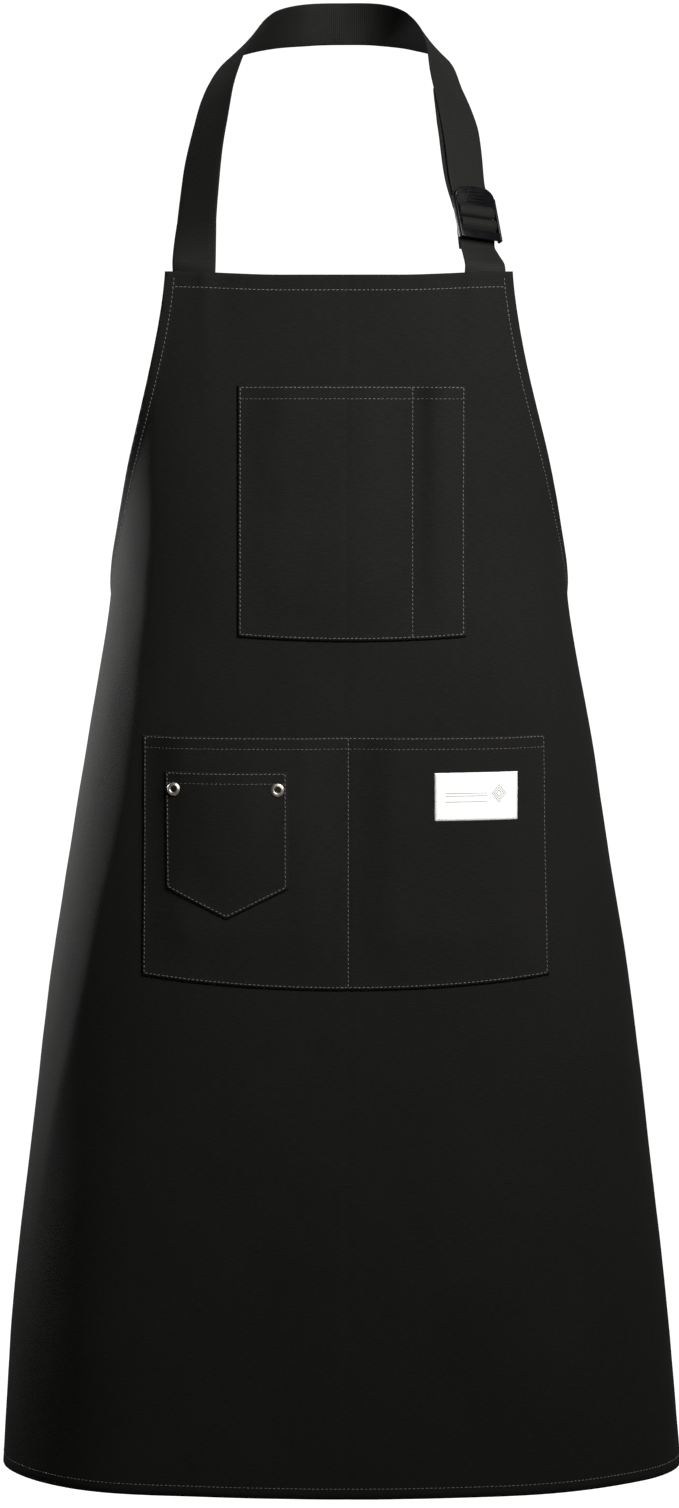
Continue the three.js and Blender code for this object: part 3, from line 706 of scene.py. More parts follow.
def seam(stitches, surface, path, out, pitch=STITCH_PITCH, length=STITCH_LENGTH, width=STITCH_WIDTH):
    """Adds the place of each stitch along a path of (along, z) points on a surface."""
    points = [Vector(p) for p in path]
    runs = [(b - a).length for a, b in zip(points, points[1:])]
    marks = np.concatenate([[0], np.cumsum(runs)])
    total = marks[-1]
    count = max(1, round(total / pitch))
    for i in range(count):
        at = (i + 0.5) * total / count
        leg = min(len(runs) - 1, int(np.searchsorted(marks, at, side="right")) - 1)
        here = points[leg].lerp(points[leg + 1], (at - marks[leg]) / runs[leg])
        ahead = here + (points[leg + 1] - points[leg]).normalized() * 0.6
        origin = to_row(surface(here.x, here.y, out))
        forward = (to_row(surface(ahead.x, ahead.y, out)) - origin).normalized()
        up = (to_row(surface(here.x, here.y, out + 1)) - origin).normalized()
        side = up.cross(forward).normalized()
        up = forward.cross(side)
        basis = Matrix.Rotation(STITCH_SLANT, 3, up) @ Matrix((forward, side, up)).transposed()
        size = Matrix.Diagonal((length / 2 * MM, width / 2 * MM, width / 2.4 * MM))
        stitches.append(Matrix.Translation(origin) @ (basis @ size).to_4x4())


def sew(name, stitches, material):
    """One piece of all the stitches of a seam."""
    bm = bmesh.new()
    for place in stitches:
        laid = STITCH.copy()
        laid.transform(place)
        bm.from_mesh(laid)
        bpy.data.meshes.remove(laid)
    new_piece(name, bm, material, "apron")
    print(f"{name}: {len(stitches)} stitches")


def straight(x0, z0, x1, z1, steps=24):
    """A straight path for a seam."""
    shares = [i / steps for i in range(steps + 1)]
    return [(blend_between(x0, x1, share), blend_between(z0, z1, share)) for share in shares]


def pocket_seams(pocket, surface):
    """The sewn edge, 2 mm in, the mouth's hem line and the dividers."""
    stitches = []
    left, right, top = pocket["left"] + SEAM_INSET, pocket["right"] - SEAM_INSET, pocket["top"]
    hem, mouth = top - pocket["hem"], top - 1.3

    def low(x):
        return bottom_edge(pocket, x) + SEAM_INSET

    seam(stitches, surface, straight(left, top - 1, left, low(left)), SEAM_RISE)
    seam(stitches, surface, straight(right, low(right), right, top - 1), SEAM_RISE)
    sole = [blend_between(left, right, i / 40) for i in range(41)]
    seam(stitches, surface, [(x, low(x) + 0.05 * SEAM_INSET) for x in sole], SEAM_RISE)
    seam(stitches, surface, straight(left, mouth, right, mouth), SEAM_RISE)
    seam(stitches, surface, straight(left, hem, right, hem), HEM_LINE_RISE, width=0.45)
    for wall in pocket["dividers"]:
        seam(stitches, surface, straight(wall, top - 1, wall, low(wall)), SEAM_RISE)
    return stitches


def panel_seams():
    """The line that holds each of the four hems."""
    stitches = []
    bib_half, bib_level = BIB_HALF_WIDTH - 6, BODY_HEIGHT - 10.5
    seam(stitches, on_cloth, straight(-bib_half, bib_level, bib_half, bib_level), PANEL_SEAM_RISE)
    skirt_half, skirt_level = SKIRT_HALF_WIDTH - 8, 7.2
    skirt_line = straight(-skirt_half, skirt_level, skirt_half, skirt_level, 80)
    seam(stitches, on_cloth, skirt_line, PANEL_SEAM_RISE)
    for side in (-1, 1):
        edge = [edge_inwards(0.006 + 0.99 * i / 200, 6.2) for i in range(201)]
        seam(stitches, on_cloth, [(side * p.x, p.y) for p in edge], PANEL_SEAM_RISE)
    return stitches


sew("panel_stitches", panel_seams(), THREAD)
sew("chest_stitches", pocket_seams(CHEST, on_chest), THREAD)
sew("lower_stitches", pocket_seams(LOWER, on_lower), THREAD)
sew("small_stitches", pocket_seams(SMALL, on_small), THREAD)

# %% [markdown]
# ## Rivets
#
# Each rivet is a turned part, so one profile spun round its axis makes each of its pieces: a flanged ring
# with a rolled lip and a sunk middle in front, and a plain burr behind. The post that joins them through
# both cloths is not made. The ring and the sunk middle have different finishes, because plating wears off
# the high metal and the hollow keeps its tarnish.

# %% Rivets
RIVET_RADIUS, RIVET_HEIGHT, BURR_RADIUS = 4.5, 1.9, 4.0
RIVET_LEVEL = SMALL["top"] - 12
RIVET_SPOTS = {"left": SMALL["left"] + 7, "right": SMALL["right"] - 7}


def seat(surface, along, z, out):
    """A frame that stands on the cloth: its Z faces out and its Y points up."""
    origin = to_row(surface(along, z, out))
    facing = (to_row(surface(along, z, out + 1)) - origin).normalized()
    across = Vector((0, 0, 1)).cross(facing).normalized()
    axes = Matrix((across, facing.cross(across), facing)).transposed()
    return Matrix.Translation(origin) @ axes.to_4x4()


def turned_part(name, profile, place, material, replaced, steps=40):
    """A closed profile of (radius, height) spun about Z."""
    bm = bmesh.new()
    rim = [bm.verts.new((radius * MM, 0, height * MM)) for radius, height in profile]
    edges = [bm.edges.new(pair) for pair in zip(rim, rim[1:])]
    bmesh.ops.spin(
        bm, geom=rim + edges, cent=(0, 0, 0), axis=(0, 0, 1), angle=2 * math.pi, steps=steps,
        use_merge=True,
    )
    bmesh.ops.remove_doubles(bm, verts=bm.verts, dist=1e-6)
    bmesh.ops.recalc_face_normals(bm, faces=bm.faces)
    bm.transform(place)
    return new_piece(name, bm, material, "apron", replaced)


for side_name, along in RIVET_SPOTS.items():
    place = seat(on_small, along, RIVET_LEVEL, CLOTH / 2)
    turns = np.linspace(-1.4, 1.2, 6)
    lip = [(RIVET_RADIUS - 0.25 + 0.35 * math.cos(a), 0.75 + 0.35 * math.sin(a)) for a in turns]
    ring = [
        (0, -0.1), (RIVET_RADIUS - 0.5, -0.1), *lip, (3.6, RIVET_HEIGHT * 0.86), (3.1, RIVET_HEIGHT),
        (2.6, RIVET_HEIGHT * 0.95), (2.15, RIVET_HEIGHT * 0.55), (0, RIVET_HEIGHT * 0.5),
    ]
    turned_part(f"{side_name}_rivet", ring, place, NICKEL, [f"{side_name}_rivet_cap"])
    dimple = [(0, 0.75), (2.3, 0.75), (2.3, 1.1), (1.9, 1.16), (1.2, 1.0), (0.5, 1.25), (0, 1.3)]
    turned_part(f"{side_name}_rivet_middle", dimple, place, RECESS, [])
    burr_seat = seat(on_lower, along, RIVET_LEVEL, -CLOTH / 2)
    burr = [
        (0, -1.1), (2.0, -1.1), (2.3, -0.85), (BURR_RADIUS - 0.3, -0.75), (BURR_RADIUS, -0.5),
        (BURR_RADIUS, 0), (0, 0),
    ]
    turned_part(f"{side_name}_burr", burr, burr_seat, NICKEL, [f"{side_name}_rivet_burr"])
print("rivets at", {side: round(x) for side, x in RIVET_SPOTS.items()})

# %% [markdown]
# ## Label
#
# The label is woven in white satin, folded under at its four edges and sewn down all round. It
# carries only three plain lines and a small plain diamond, as a blank stock label has. It is one
# small sheet that lies a little off the pocket, and its motif is laid with the same stitches as the
# seams, only shorter and finer.

# %% Label
LABEL = {"width": 57, "height": 33, "centre": 93, "level": 482, "tilt": 0.008}


def on_label(x, y, out=0.0):
    """x and y run over the label from its middle."""
    edge = min(LABEL["width"] / 2 - abs(x), LABEL["height"] / 2 - abs(y))
    puff = 0.75 * smooth(-0.4, 1.2, edge) + 0.25 * smooth(2, 9, edge)
    along = LABEL["centre"] + x - y * LABEL["tilt"]
    return on_lower(along, LABEL["level"] + y + x * LABEL["tilt"], 0.45 + puff + out)


label_bm = sheet_mesh(
    48, 30, lambda u, v: on_label((u - 0.5) * LABEL["width"], (v - 0.5) * LABEL["height"]),
    lambda u, v: (u * LABEL["width"], v * LABEL["height"]),
)
label = new_piece("woven_label", label_bm, SATIN, "apron", ["label"], thickness=0.35)


def loop_round(stitches, corners, pitch, length, width):
    """A closed line of stitches through corners on the label."""
    for (x0, y0), (x1, y1) in zip(corners, corners[1:] + corners[:1]):
        seam(stitches, on_label, straight(x0, y0, x1, y1, 4), LABEL_SEAM_RISE, pitch, length, width)


def box_corners(inset):
    half_w, half_h = LABEL["width"] / 2 - inset, LABEL["height"] / 2 - inset
    return [(-half_w, -half_h), (half_w, -half_h), (half_w, half_h), (-half_w, half_h)]


embroidery = []
for size in (4.6, 3.2, 1.8):
    motif = [(15 - size, 2), (15, 2 + size * 1.3), (15 + size, 2), (15, 2 - size * 1.3)]
    loop_round(embroidery, motif, 0.95, 1.4, 0.4)
for level in (2.4, 0.6, -3.4):
    seam(embroidery, on_label, straight(-21, level, 7, level, 4), LABEL_SEAM_RISE, 0.95, 1.3, 0.4)
sew("label_embroidery", embroidery, EMBROIDERY)
edge_thread = []
loop_round(edge_thread, box_corners(1.6), 2.6, 2.0, 0.5)
sew("label_stitches", edge_thread, WHITE_THREAD)
print("label sewn")

# %% [markdown]
# ## Webbing
#
# Webbing is a flat band that keeps its width and turns about its own middle line. Its route is a
# list of stations, each with the direction that its width lies in, joined by a smooth curve. The
# band starts as one grid whose columns run over the front face and back over the rear face. Thinner
# lanes at each edge round its selvedge, bridge_loops closes the last side, and small waves are
# added, because stored webbing never lies quite straight.

# %% Bands along a route
def route_point(points, t):
    """A centripetal Catmull-Rom curve through the points, t from 0 to 1."""
    last = len(points) - 1
    i = min(last - 1, int(t * last))
    w = t * last - i
    p1, p2 = points[i], points[i + 1]
    p0 = points[i - 1] if i > 0 else p1 * 2 - p2
    p3 = points[i + 2] if i + 2 <= last else p2 * 2 - p1
    d0, d1, d2 = (math.sqrt((b - a).length) or 1e-3 for a, b in ((p0, p1), (p1, p2), (p2, p3)))
    m1 = ((p1 - p0) / d0 - (p2 - p0) / (d0 + d1) + (p2 - p1) / d1) * d1
    m2 = ((p2 - p1) / d1 - (p3 - p1) / (d1 + d2) + (p3 - p2) / d2) * d1
    return (
        p1 + m1 * w + (p1 * -3 + p2 * 3 - m1 * 2 - m2) * w**2 + (p1 * 2 - p2 * 2 + m1 + m2) * w**3
    )


LANES = [-0.5, -0.485, -0.45, -0.3, -0.1, 0.1, 0.3, 0.45, 0.485, 0.5]
SELVEDGE = [0.35, 0.75, 1, 1, 1, 1, 1, 1, 0.75, 0.35]


def band(
    name, stations, width, thickness, steps, material, body, replaced=(), ripple=0.0, taper=None,
):
    """A band through stations (point, across) in garment millimetres. taper(v) scales its width."""
    points = [Vector(point) for point, _ in stations]
    acrosses = [Vector(across).normalized() for _, across in stations]
    last = len(points) - 1
    samples = [route_point(points, i / steps) for i in range(steps + 1)]
    runs = np.concatenate([[0], np.cumsum([(b - a).length for a, b in zip(samples, samples[1:])])])
    face_lanes = list(zip(LANES, SELVEDGE))
    loop_lanes = [(lane, 1, thin) for lane, thin in face_lanes]
    loop_lanes += [(lane, -1, thin) for lane, thin in reversed(face_lanes)]
    bm = bmesh.new()
    bmesh.ops.create_grid(bm, x_segments=len(loop_lanes) - 1, y_segments=steps, size=1)
    uv = bm.loops.layers.uv.new("cloth")
    grid = {}
    for vert in bm.verts:
        column = round((vert.co.x + 1) / 2 * (len(loop_lanes) - 1))
        row = round((vert.co.y + 1) / 2 * steps)
        grid[vert] = (column, row)
    for face in bm.faces:
        for loop in face.loops:
            column, row = grid[loop.vert]
            loop[uv].uv = (loop_lanes[column][0] * width * MM, runs[row] * MM)
    frames = []
    for row in range(steps + 1):
        t = row / steps
        along = (samples[min(steps, row + 1)] - samples[max(0, row - 1)]).normalized()
        i = min(last - 1, int(t * last))
        across = acrosses[i].lerp(acrosses[i + 1], t * last - i)
        across = (across - along * across.dot(along)).normalized()
        frames.append((samples[row], across, across.cross(along)))
    for vert, (column, row) in grid.items():
        lane, face_side, thin = loop_lanes[column]
        at, across, out = frames[row]
        wide = width * (taper(row / steps) if taper else 1)
        wave = ripple * noise.noise(Vector((runs[row] / 26, lane * 0.8, 5.5)))
        vert.co = to_row(at + across * (lane * wide) + out * (face_side * thickness / 2 * thin + wave))
    bmesh.ops.remove_doubles(bm, verts=bm.verts, dist=1e-7)
    ends = {vert for vert, (_, row) in grid.items() if vert.is_valid and row in (0, steps)}
    borders = [edge for edge in bm.edges if edge.is_boundary]
    open_sides = [edge for edge in borders if not ends.issuperset(edge.verts)]
    bmesh.ops.bridge_loops(bm, edges=open_sides)
    bmesh.ops.holes_fill(bm, edges=[edge for edge in bm.edges if edge.is_boundary], sides=0)
    bmesh.ops.recalc_face_normals(bm, faces=bm.faces)
    piece = new_piece(name, bm, material, body, replaced)
    print(f"{name}: {runs[-1]:.0f} mm long")
    return piece


# %% [markdown]
# ### The neck strap
#
# The left end is sewn behind the bib's hem and folds just above it, which is where the apron swings on
# the loop. On the right the strap comes down to the buckle, over the adjuster bar and up again behind
# itself, where the loose end shows as a second edge. Webbing only bends flatwise, so on its way round the
# neck the edge nearest to the neck becomes the top edge.

# %% Strap and buckle frames
HEM_GAP, HALF_HEM = 0.6, 0.7
WEBBING_REST = HEM_GAP + HALF_HEM + WEBBING_THICKNESS / 2
FOLD_HEIGHT = BODY_HEIGHT + FOLD_RISE
left_base = drape(-STRAP_AT, BODY_HEIGHT, -WEBBING_REST)
right_base = drape(STRAP_AT, BODY_HEIGHT, -WEBBING_REST)
right_fold = Vector((right_base.x, right_base.y, FOLD_HEIGHT))
left_fold = Vector((left_base.x, left_base.y, FOLD_HEIGHT))
buckle_up = Vector((-10, 24, 58)).normalized()
BUCKLE_TURN = math.radians(34)
buckle_out = Vector((math.sin(BUCKLE_TURN), -math.cos(BUCKLE_TURN), 0))
buckle_out = (buckle_out - buckle_up * buckle_out.dot(buckle_up)).normalized()
buckle_across = buckle_up.cross(buckle_out)
PIVOT_RISE = 35
BAR_PITCH = 10.4
BAR_RADIUS = 1.5
RING_OUTER = 3.3
buckle_at = right_fold + buckle_up * ((PIVOT_RISE - FOLD_RISE) / buckle_up.z)
LOAD_OUT = -(RING_OUTER + 0.3 + WEBBING_THICKNESS / 2)
TAIL_OUT = LOAD_OUT + WEBBING_THICKNESS + 0.3


def on_buckle(up, out):
    """A garment point `up` the strap from the pivot bar and `out` from the buckle's middle plane."""
    return buckle_at + buckle_up * up + buckle_out * out


def hem_across(side):
    """The direction of the bib's top edge where a strap is sewn."""
    return drape(side * STRAP_AT + 8, BODY_HEIGHT) - drape(side * STRAP_AT - 8, BODY_HEIGHT)


print("pivot bar at", [round(v, 4) for v in to_row(buckle_at)])

# %% Neck strap
def garment(x, y, rise):
    """A garment point, rise above the bib's top edge."""
    return Vector((x, y, BODY_HEIGHT + rise))


def sewn(side, rise):
    """A station on the back of the bib, where a strap's end is sewn."""
    return drape(side * STRAP_AT, BODY_HEIGHT + rise, -WEBBING_REST), hem_across(side)


neck_stations = [
    sewn(-1, -SEWN_END), sewn(-1, -SEWN_END / 2), sewn(-1, -1),
    (left_fold + Vector((0, 0.6, 2.3)), (1, -0.04, 0)),
    (garment(-98.5, -84, 37), (0.92, -0.4, 0.05)),
    (garment(-95, -69, 75), (0.86, -0.5, 0.1)),
    (garment(-90, -50, 107), (0.8, -0.54, 0.2)),
    (garment(-82.5, -22, 139), (0.74, -0.6, 0.32)),
    (garment(-70, 12, 164), (0.6, -0.66, 0.5)),
    (garment(-48, 46, 180), (0.2, -0.45, 0.87)),
    (garment(-22, 64, 185.5), (0.03, -0.12, 0.99)),
    (garment(2, NECK_BACK - WEBBING_THICKNESS / 2, 186.5), (0, 0, 1)),
    (garment(27, 62, 185.5), (-0.03, -0.12, 0.99)),
    (garment(50, 42, 179), (-0.2, -0.45, 0.87)),
    (garment(69, 8, 163), (-0.6, -0.66, 0.5)),
    (garment(75, -22.5, 138), (-0.75, -0.6, 0.3)),
    (garment(83.8, -45.5, 105), (-0.86, -0.48, 0.12)),
    (on_buckle(BAR_PITCH + 26, TAIL_OUT), -buckle_across),
    (on_buckle(BAR_PITCH + 15, TAIL_OUT), -buckle_across),
]
neck_webbing = band(
    "neck_webbing", neck_stations, WEBBING, WEBBING_THICKNESS, 220, STRAP_WEBBING, None,
    ["neck_strap", "left_strap_end"], ripple=0.5,
)
fold_low, fold_high = FOLD_HEIGHT - 6, FOLD_HEIGHT + 12
to_row((0, left_fold.y, fold_low))
to_row((0, left_fold.y, fold_high))
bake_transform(neck_webbing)

# %% [markdown]
# ### The strap through the buckle
#
# Under the thumb tab the strap turns inwards round the adjuster bar and comes back up behind itself. This
# turn is its own band, which meets the neck strap under the tab, where the joint doesn't show.

# %% Strap through the buckle
def tucked_behind(t, inwards):
    """A station behind the neck strap, t along its route, for the loose end that lies against it."""
    points = [Vector(point) for point, _ in neck_stations]
    step = (route_point(points, t + 0.005) - route_point(points, t - 0.005)).normalized()
    nearest = neck_stations[round(t * (len(points) - 1))][1]
    across = (Vector(nearest) - step * Vector(nearest).dot(step)).normalized()
    behind = across.cross(step) * (WEBBING_THICKNESS + 0.5)
    return route_point(points, t) - behind + across * inwards, across


tail_stations = [
    (on_buckle(BAR_PITCH + 16, TAIL_OUT), -buckle_across),
    (on_buckle(BAR_PITCH + 9, TAIL_OUT), -buckle_across),
    (on_buckle(BAR_PITCH + 4.2, 0.2), -buckle_across),
    (on_buckle(BAR_PITCH + 2.2, 2.3), -buckle_across),
    (on_buckle(BAR_PITCH - 0.6, 2.9), -buckle_across),
    (on_buckle(BAR_PITCH - 3.6, 1.9), -buckle_across),
    (on_buckle(BAR_PITCH - 4.6, -0.4), -buckle_across),
    (on_buckle(BAR_PITCH - 3.0, -2.9), -buckle_across),
    (on_buckle(BAR_PITCH + 2.5, LOAD_OUT - 0.2), -buckle_across),
    (on_buckle(BAR_PITCH + 10, LOAD_OUT - 0.2) - buckle_across * 1, -buckle_across),
    (on_buckle(BAR_PITCH + 24, LOAD_OUT - 0.5) - buckle_across * 2.4, -buckle_across),
    tucked_behind(16 / 18, 2.6),
    tucked_behind(15.3 / 18, 0),
]
buckle_webbing = band(
    "buckle_webbing", tail_stations, WEBBING - 0.6, WEBBING_THICKNESS, 160, STRAP_WEBBING, None,
    ["strap_tail", "strap_turn"], ripple=0.15,
)
to_row(on_buckle(BAR_PITCH + 16, 0))
to_row(on_buckle(BAR_PITCH + 5, 0))
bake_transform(buckle_webbing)

# %% [markdown]
# ### The stub
#
# A short piece of webbing holds the buckle on the bib. It is sewn behind the hem like the neck
# strap, folds at the same height, runs up behind the buckle's lip, goes round the pivot bar and
# ends behind itself. It lies well back under the lip, because the lip swings inwards when the tab
# is lifted.

# %% Stub
lip_side = on_buckle(-14, -4.2)
stub_stations = [
    sewn(1, -SEWN_END), sewn(1, -SEWN_END / 2), sewn(1, -2),
    (right_fold + Vector((0, 0.6, -0.5)), (1, 0.34, 0)),
    (right_fold.lerp(lip_side, 0.5) + Vector((0, 0.5, 0)), (0.88, 0.47, -0.05)),
    (lip_side, buckle_across),
    (on_buckle(-8.5, -2.8), buckle_across),
    (on_buckle(-5.2, -1.2), buckle_across),
    (on_buckle(-2.9, 1.2), buckle_across),
    (on_buckle(-0.6, 2.7), buckle_across),
    (on_buckle(2.7, 2.3), buckle_across),
    (on_buckle(4.1, 0), buckle_across),
    (on_buckle(2.4, -2.6), buckle_across),
    (on_buckle(-3, -4.6), buckle_across),
    (on_buckle(-9, -5.4), buckle_across),
    (on_buckle(-17, -6.3), buckle_across),
]
stub_webbing = band(
    "stub_webbing", stub_stations, WEBBING - 0.6, WEBBING_THICKNESS, 160, STRAP_WEBBING, None,
    ["strap_stub", "right_strap_end"], ripple=0.1,
)
to_row((0, right_fold.y, fold_low))
to_row((0, right_fold.y, fold_high))
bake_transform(stub_webbing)

# %% [markdown]
# ### The buckle
#
# A ladder-lock is one moulding: two side rails, a round pivot bar that the stub holds, a round
# adjuster bar that the strap goes round, a lip below, and a thumb tab above that leans outwards and
# carries moulded ribs. Every edge is rounded, as a moulding's edges are, so each block is beveled
# before it is placed.

# %% Buckle
RAIL, RAIL_DEPTH, RAIL_UP, RAIL_DOWN = 2.2, 4.4, 21, 12
LIP_HEIGHT, LIP_THICKNESS = 6.6, 1.6
TAB_HEIGHT, TAB_THICKNESS, TAB_CORNER, TAB_TILT = 14.5, 1.9, 8.5, math.radians(14)
GRIP_RIBS, GRIP_PITCH = 4, 2.3
RAIL_INNER = WEBBING / 2 + 0.4
buckle_axes = Matrix((buckle_across, buckle_up, buckle_out)).transposed().to_4x4()
to_buckle = Matrix.Translation(to_row(buckle_at)) @ buckle_axes


def rounded_block(bm, low, high, radius, segments=4):
    """A block between two corners, (across, up, out) in millimetres, with all its edges rounded."""
    size = [(b - a) * MM for a, b in zip(low, high)]
    middle = Vector([(a + b) / 2 * MM for a, b in zip(low, high)])
    stretch = Matrix.Translation(middle) @ Matrix.Diagonal((*size, 1))
    made = bmesh.ops.create_cube(bm, size=1, matrix=stretch)
    edges = {edge for vert in made["verts"] for edge in vert.link_edges}
    bmesh.ops.bevel(
        bm, geom=list(edges), offset=radius * MM, offset_type="OFFSET", segments=segments, profile=0.5,
        affect="EDGES", material=-1,
    )


def round_bar(bm, up, radius, half):
    turn_x = Matrix.Rotation(math.pi / 2, 4, "Y")
    bmesh.ops.create_cone(
        bm, cap_ends=True, segments=32, radius1=radius * MM, radius2=radius * MM, depth=2 * half * MM,
        matrix=Matrix.Translation((0, up * MM, 0)) @ turn_x,
    )


buckle_bm = bmesh.new()
depth_low, depth_high = -RAIL_DEPTH / 3, RAIL_DEPTH * 2 / 3
for side in (-1, 1):
    inner, outer = sorted((side * RAIL_INNER, side * (RAIL_INNER + RAIL)))
    rounded_block(buckle_bm, (inner, -RAIL_DOWN, depth_low), (outer, RAIL_UP, depth_high), 0.95)
round_bar(buckle_bm, 0, BAR_RADIUS, RAIL_INNER + 1)
round_bar(buckle_bm, BAR_PITCH, BAR_RADIUS, RAIL_INNER + 1)
lip_low = (-RAIL_INNER - 1, -RAIL_DOWN, depth_high - LIP_THICKNESS)
lip_high = (RAIL_INNER + 1, -RAIL_DOWN + LIP_HEIGHT, depth_high)
rounded_block(buckle_bm, lip_low, lip_high, 0.7)
buckle_bm.transform(to_buckle)
new_piece("buckle_moulding", buckle_bm, ACETAL, "buckle", ["buckle_frame"])


def tab_outline(half, height, corner, steps=8):
    """Half of the tab's outline, from its lower corner to the middle of its top."""
    points = [(half, 0), (half - 0.6, height - corner)]
    for i in range(1, steps + 1):
        angle = math.pi / 2 * i / steps
        x = half - 0.6 - corner * 1.5 * (1 - math.cos(angle))
        points.append((x, height - corner + corner * math.sin(angle)))
    return points


tab_bm = bmesh.new()
right_side = tab_outline(RAIL_INNER + 1.9, TAB_HEIGHT, TAB_CORNER)
outline = right_side + [(-x, y) for x, y in reversed(right_side)]
face = tab_bm.faces.new([tab_bm.verts.new((x * MM, y * MM, 0)) for x, y in outline])
raised = bmesh.ops.extrude_face_region(tab_bm, geom=[face])["geom"]
top_verts = [item for item in raised if isinstance(item, bmesh.types.BMVert)]
bmesh.ops.translate(tab_bm, verts=top_verts, vec=(0, 0, TAB_THICKNESS * MM))
bmesh.ops.recalc_face_normals(tab_bm, faces=tab_bm.faces)
rims = [edge for edge in tab_bm.edges if len(edge.link_faces) == 2 and edge.calc_face_angle(0) > 1.2]
bmesh.ops.bevel(
    tab_bm, geom=rims, offset=0.6 * MM, offset_type="OFFSET", segments=4, profile=0.5,
    affect="EDGES", material=-1,
)
for i in range(GRIP_RIBS):
    rise, half = 3.2 + GRIP_PITCH * i, 9 - i * 1.1
    rounded_block(tab_bm, (-half, rise - 0.45, 1.6), (half, rise + 0.45, 2.35), 0.3, 3)
tab_root = Vector((0, BAR_PITCH + RING_OUTER + 0.2, TAIL_OUT + 2.1)) * MM
tab_bm.transform(to_buckle @ Matrix.Translation(tab_root) @ Matrix.Rotation(TAB_TILT, 4, "X"))
new_piece("buckle_tab", tab_bm, ACETAL, "buckle")
print("buckle moulded")

# %% [markdown]
# ## Waist ties
#
# Each tie is one length of cotton tape sewn to a waist corner. Behind the waist the two are tied in
# a bow: the runs come in from both sides, two loops stand out of the knot, and two loose ends hang.
# A tape's loop is pinched narrow where the knot grips it and opens out to nearly full width at its
# far end.

# %% Ties
TIE_WIDTH, BOW_WIDTH, END_WIDTH = 25, 20, 22
TIE_TOP = WAIST_HEIGHT - 4
BOW_REACH, BOW_OPEN, BOW_DROOP = 37, 12, math.radians(22)
tie_middle = TIE_TOP - TIE_WIDTH / 2
back_half = section_at(tie_middle)[2][-1]
KNOT_WIDTH, KNOT_DEPTH, KNOT_HEIGHT = 13, 12, 14
tie_face = drape(back_half, tie_middle, WEBBING_REST + WEBBING_THICKNESS / 2)
knot_at = tie_face + Vector((0, BOW_WIDTH / 2 + 0.6, 0))
TAIL_LENGTH, TAIL_SPREAD = 300, 26

for side, side_name in ((-1, "left"), (1, "right")):
    start, stop = SKIRT_HALF_WIDTH - 22, back_half - KNOT_WIDTH * 0.4
    run = []
    for i in range(15):
        t = i / 14
        out = WEBBING_REST + 3 * smooth(0.75, 1, t)
        at = drape(side * blend_between(start, stop, t), tie_middle, out)
        run.append((at, (0, 0.15 * smooth(0.8, 1, t), 1)))
    band(
        f"{side_name}_tie_run", run, TIE_WIDTH, TAPE_THICKNESS, 110, TIE_TAPE, "apron",
        [f"{side_name}_waist_tie"], ripple=0.7, taper=lambda v: 1 - 0.5 * smooth(0.82, 1, v),
    )
    loop = []
    for i in range(17):
        angle = math.pi - 2 * math.pi * i / 16
        pinch = 0.25 + 0.75 * smooth(-1, -0.2, math.cos(angle))
        x = BOW_REACH * math.cos(angle) + BOW_REACH + KNOT_WIDTH - 8
        z = BOW_OPEN * math.sin(angle) * pinch
        turned_x = x * math.cos(BOW_DROOP) + z * math.sin(BOW_DROOP)
        turned_z = -x * math.sin(BOW_DROOP) + z * math.cos(BOW_DROOP)
        at = knot_at + Vector((side * turned_x, 1.5 * math.sin(angle), turned_z))
        loop.append((at, (0.12 * side, 1, 0.15)))
    band(
        f"{side_name}_loop", loop, BOW_WIDTH, TAPE_THICKNESS, 120, TIE_TAPE, "apron",
        [f"{side_name}_bow_loop"], ripple=0.8,
        taper=lambda v: 0.5 + 0.5 * smooth(0, 0.3, min(v, 1 - v)),
    )
    layer = -3 if side < 0 else -5.5
    under_knot = knot_at - Vector((0, 0, KNOT_HEIGHT))
    tail = [
        (under_knot + Vector((side * 3, layer + 2, 5)), (1, 0.1, 0)),
        (under_knot + Vector((side * 5, layer, -8)), (1, 0.15, 0)),
        (under_knot + Vector((side * 11, layer + 1, -0.15 * TAIL_LENGTH)), (1, -0.2, 0)),
        (under_knot + Vector((side * 18, layer + 4, -0.5 * TAIL_LENGTH)), (1, 0.25, 0)),
        (under_knot + Vector((side * 23, layer + 1, -0.8 * TAIL_LENGTH)), (1, -0.2, 0)),
        (under_knot + Vector((side * TAIL_SPREAD, layer + 3, -TAIL_LENGTH)), (1, 0.2, 0)),
    ]
    band(
        f"{side_name}_tail", tail, END_WIDTH, TAPE_THICKNESS, 140, TIE_TAPE, "apron",
        [f"{side_name}_tie_tail"], ripple=1.2, taper=lambda v: 0.6 + 0.4 * smooth(0, 0.25, v),
    )

# %% [markdown]
# ### The knot
#
# A bow's knot is the tape wrapped once round both loops and pulled tight. At this size it reads as
# a small squared bundle with a few slanting creases, so it starts as a sphere, which is squared off
# and creased.

# %% Knot
def squared(value):
    """Pushes a sphere's coordinate towards a box's."""
    return math.copysign(abs(value) ** 0.8, value)


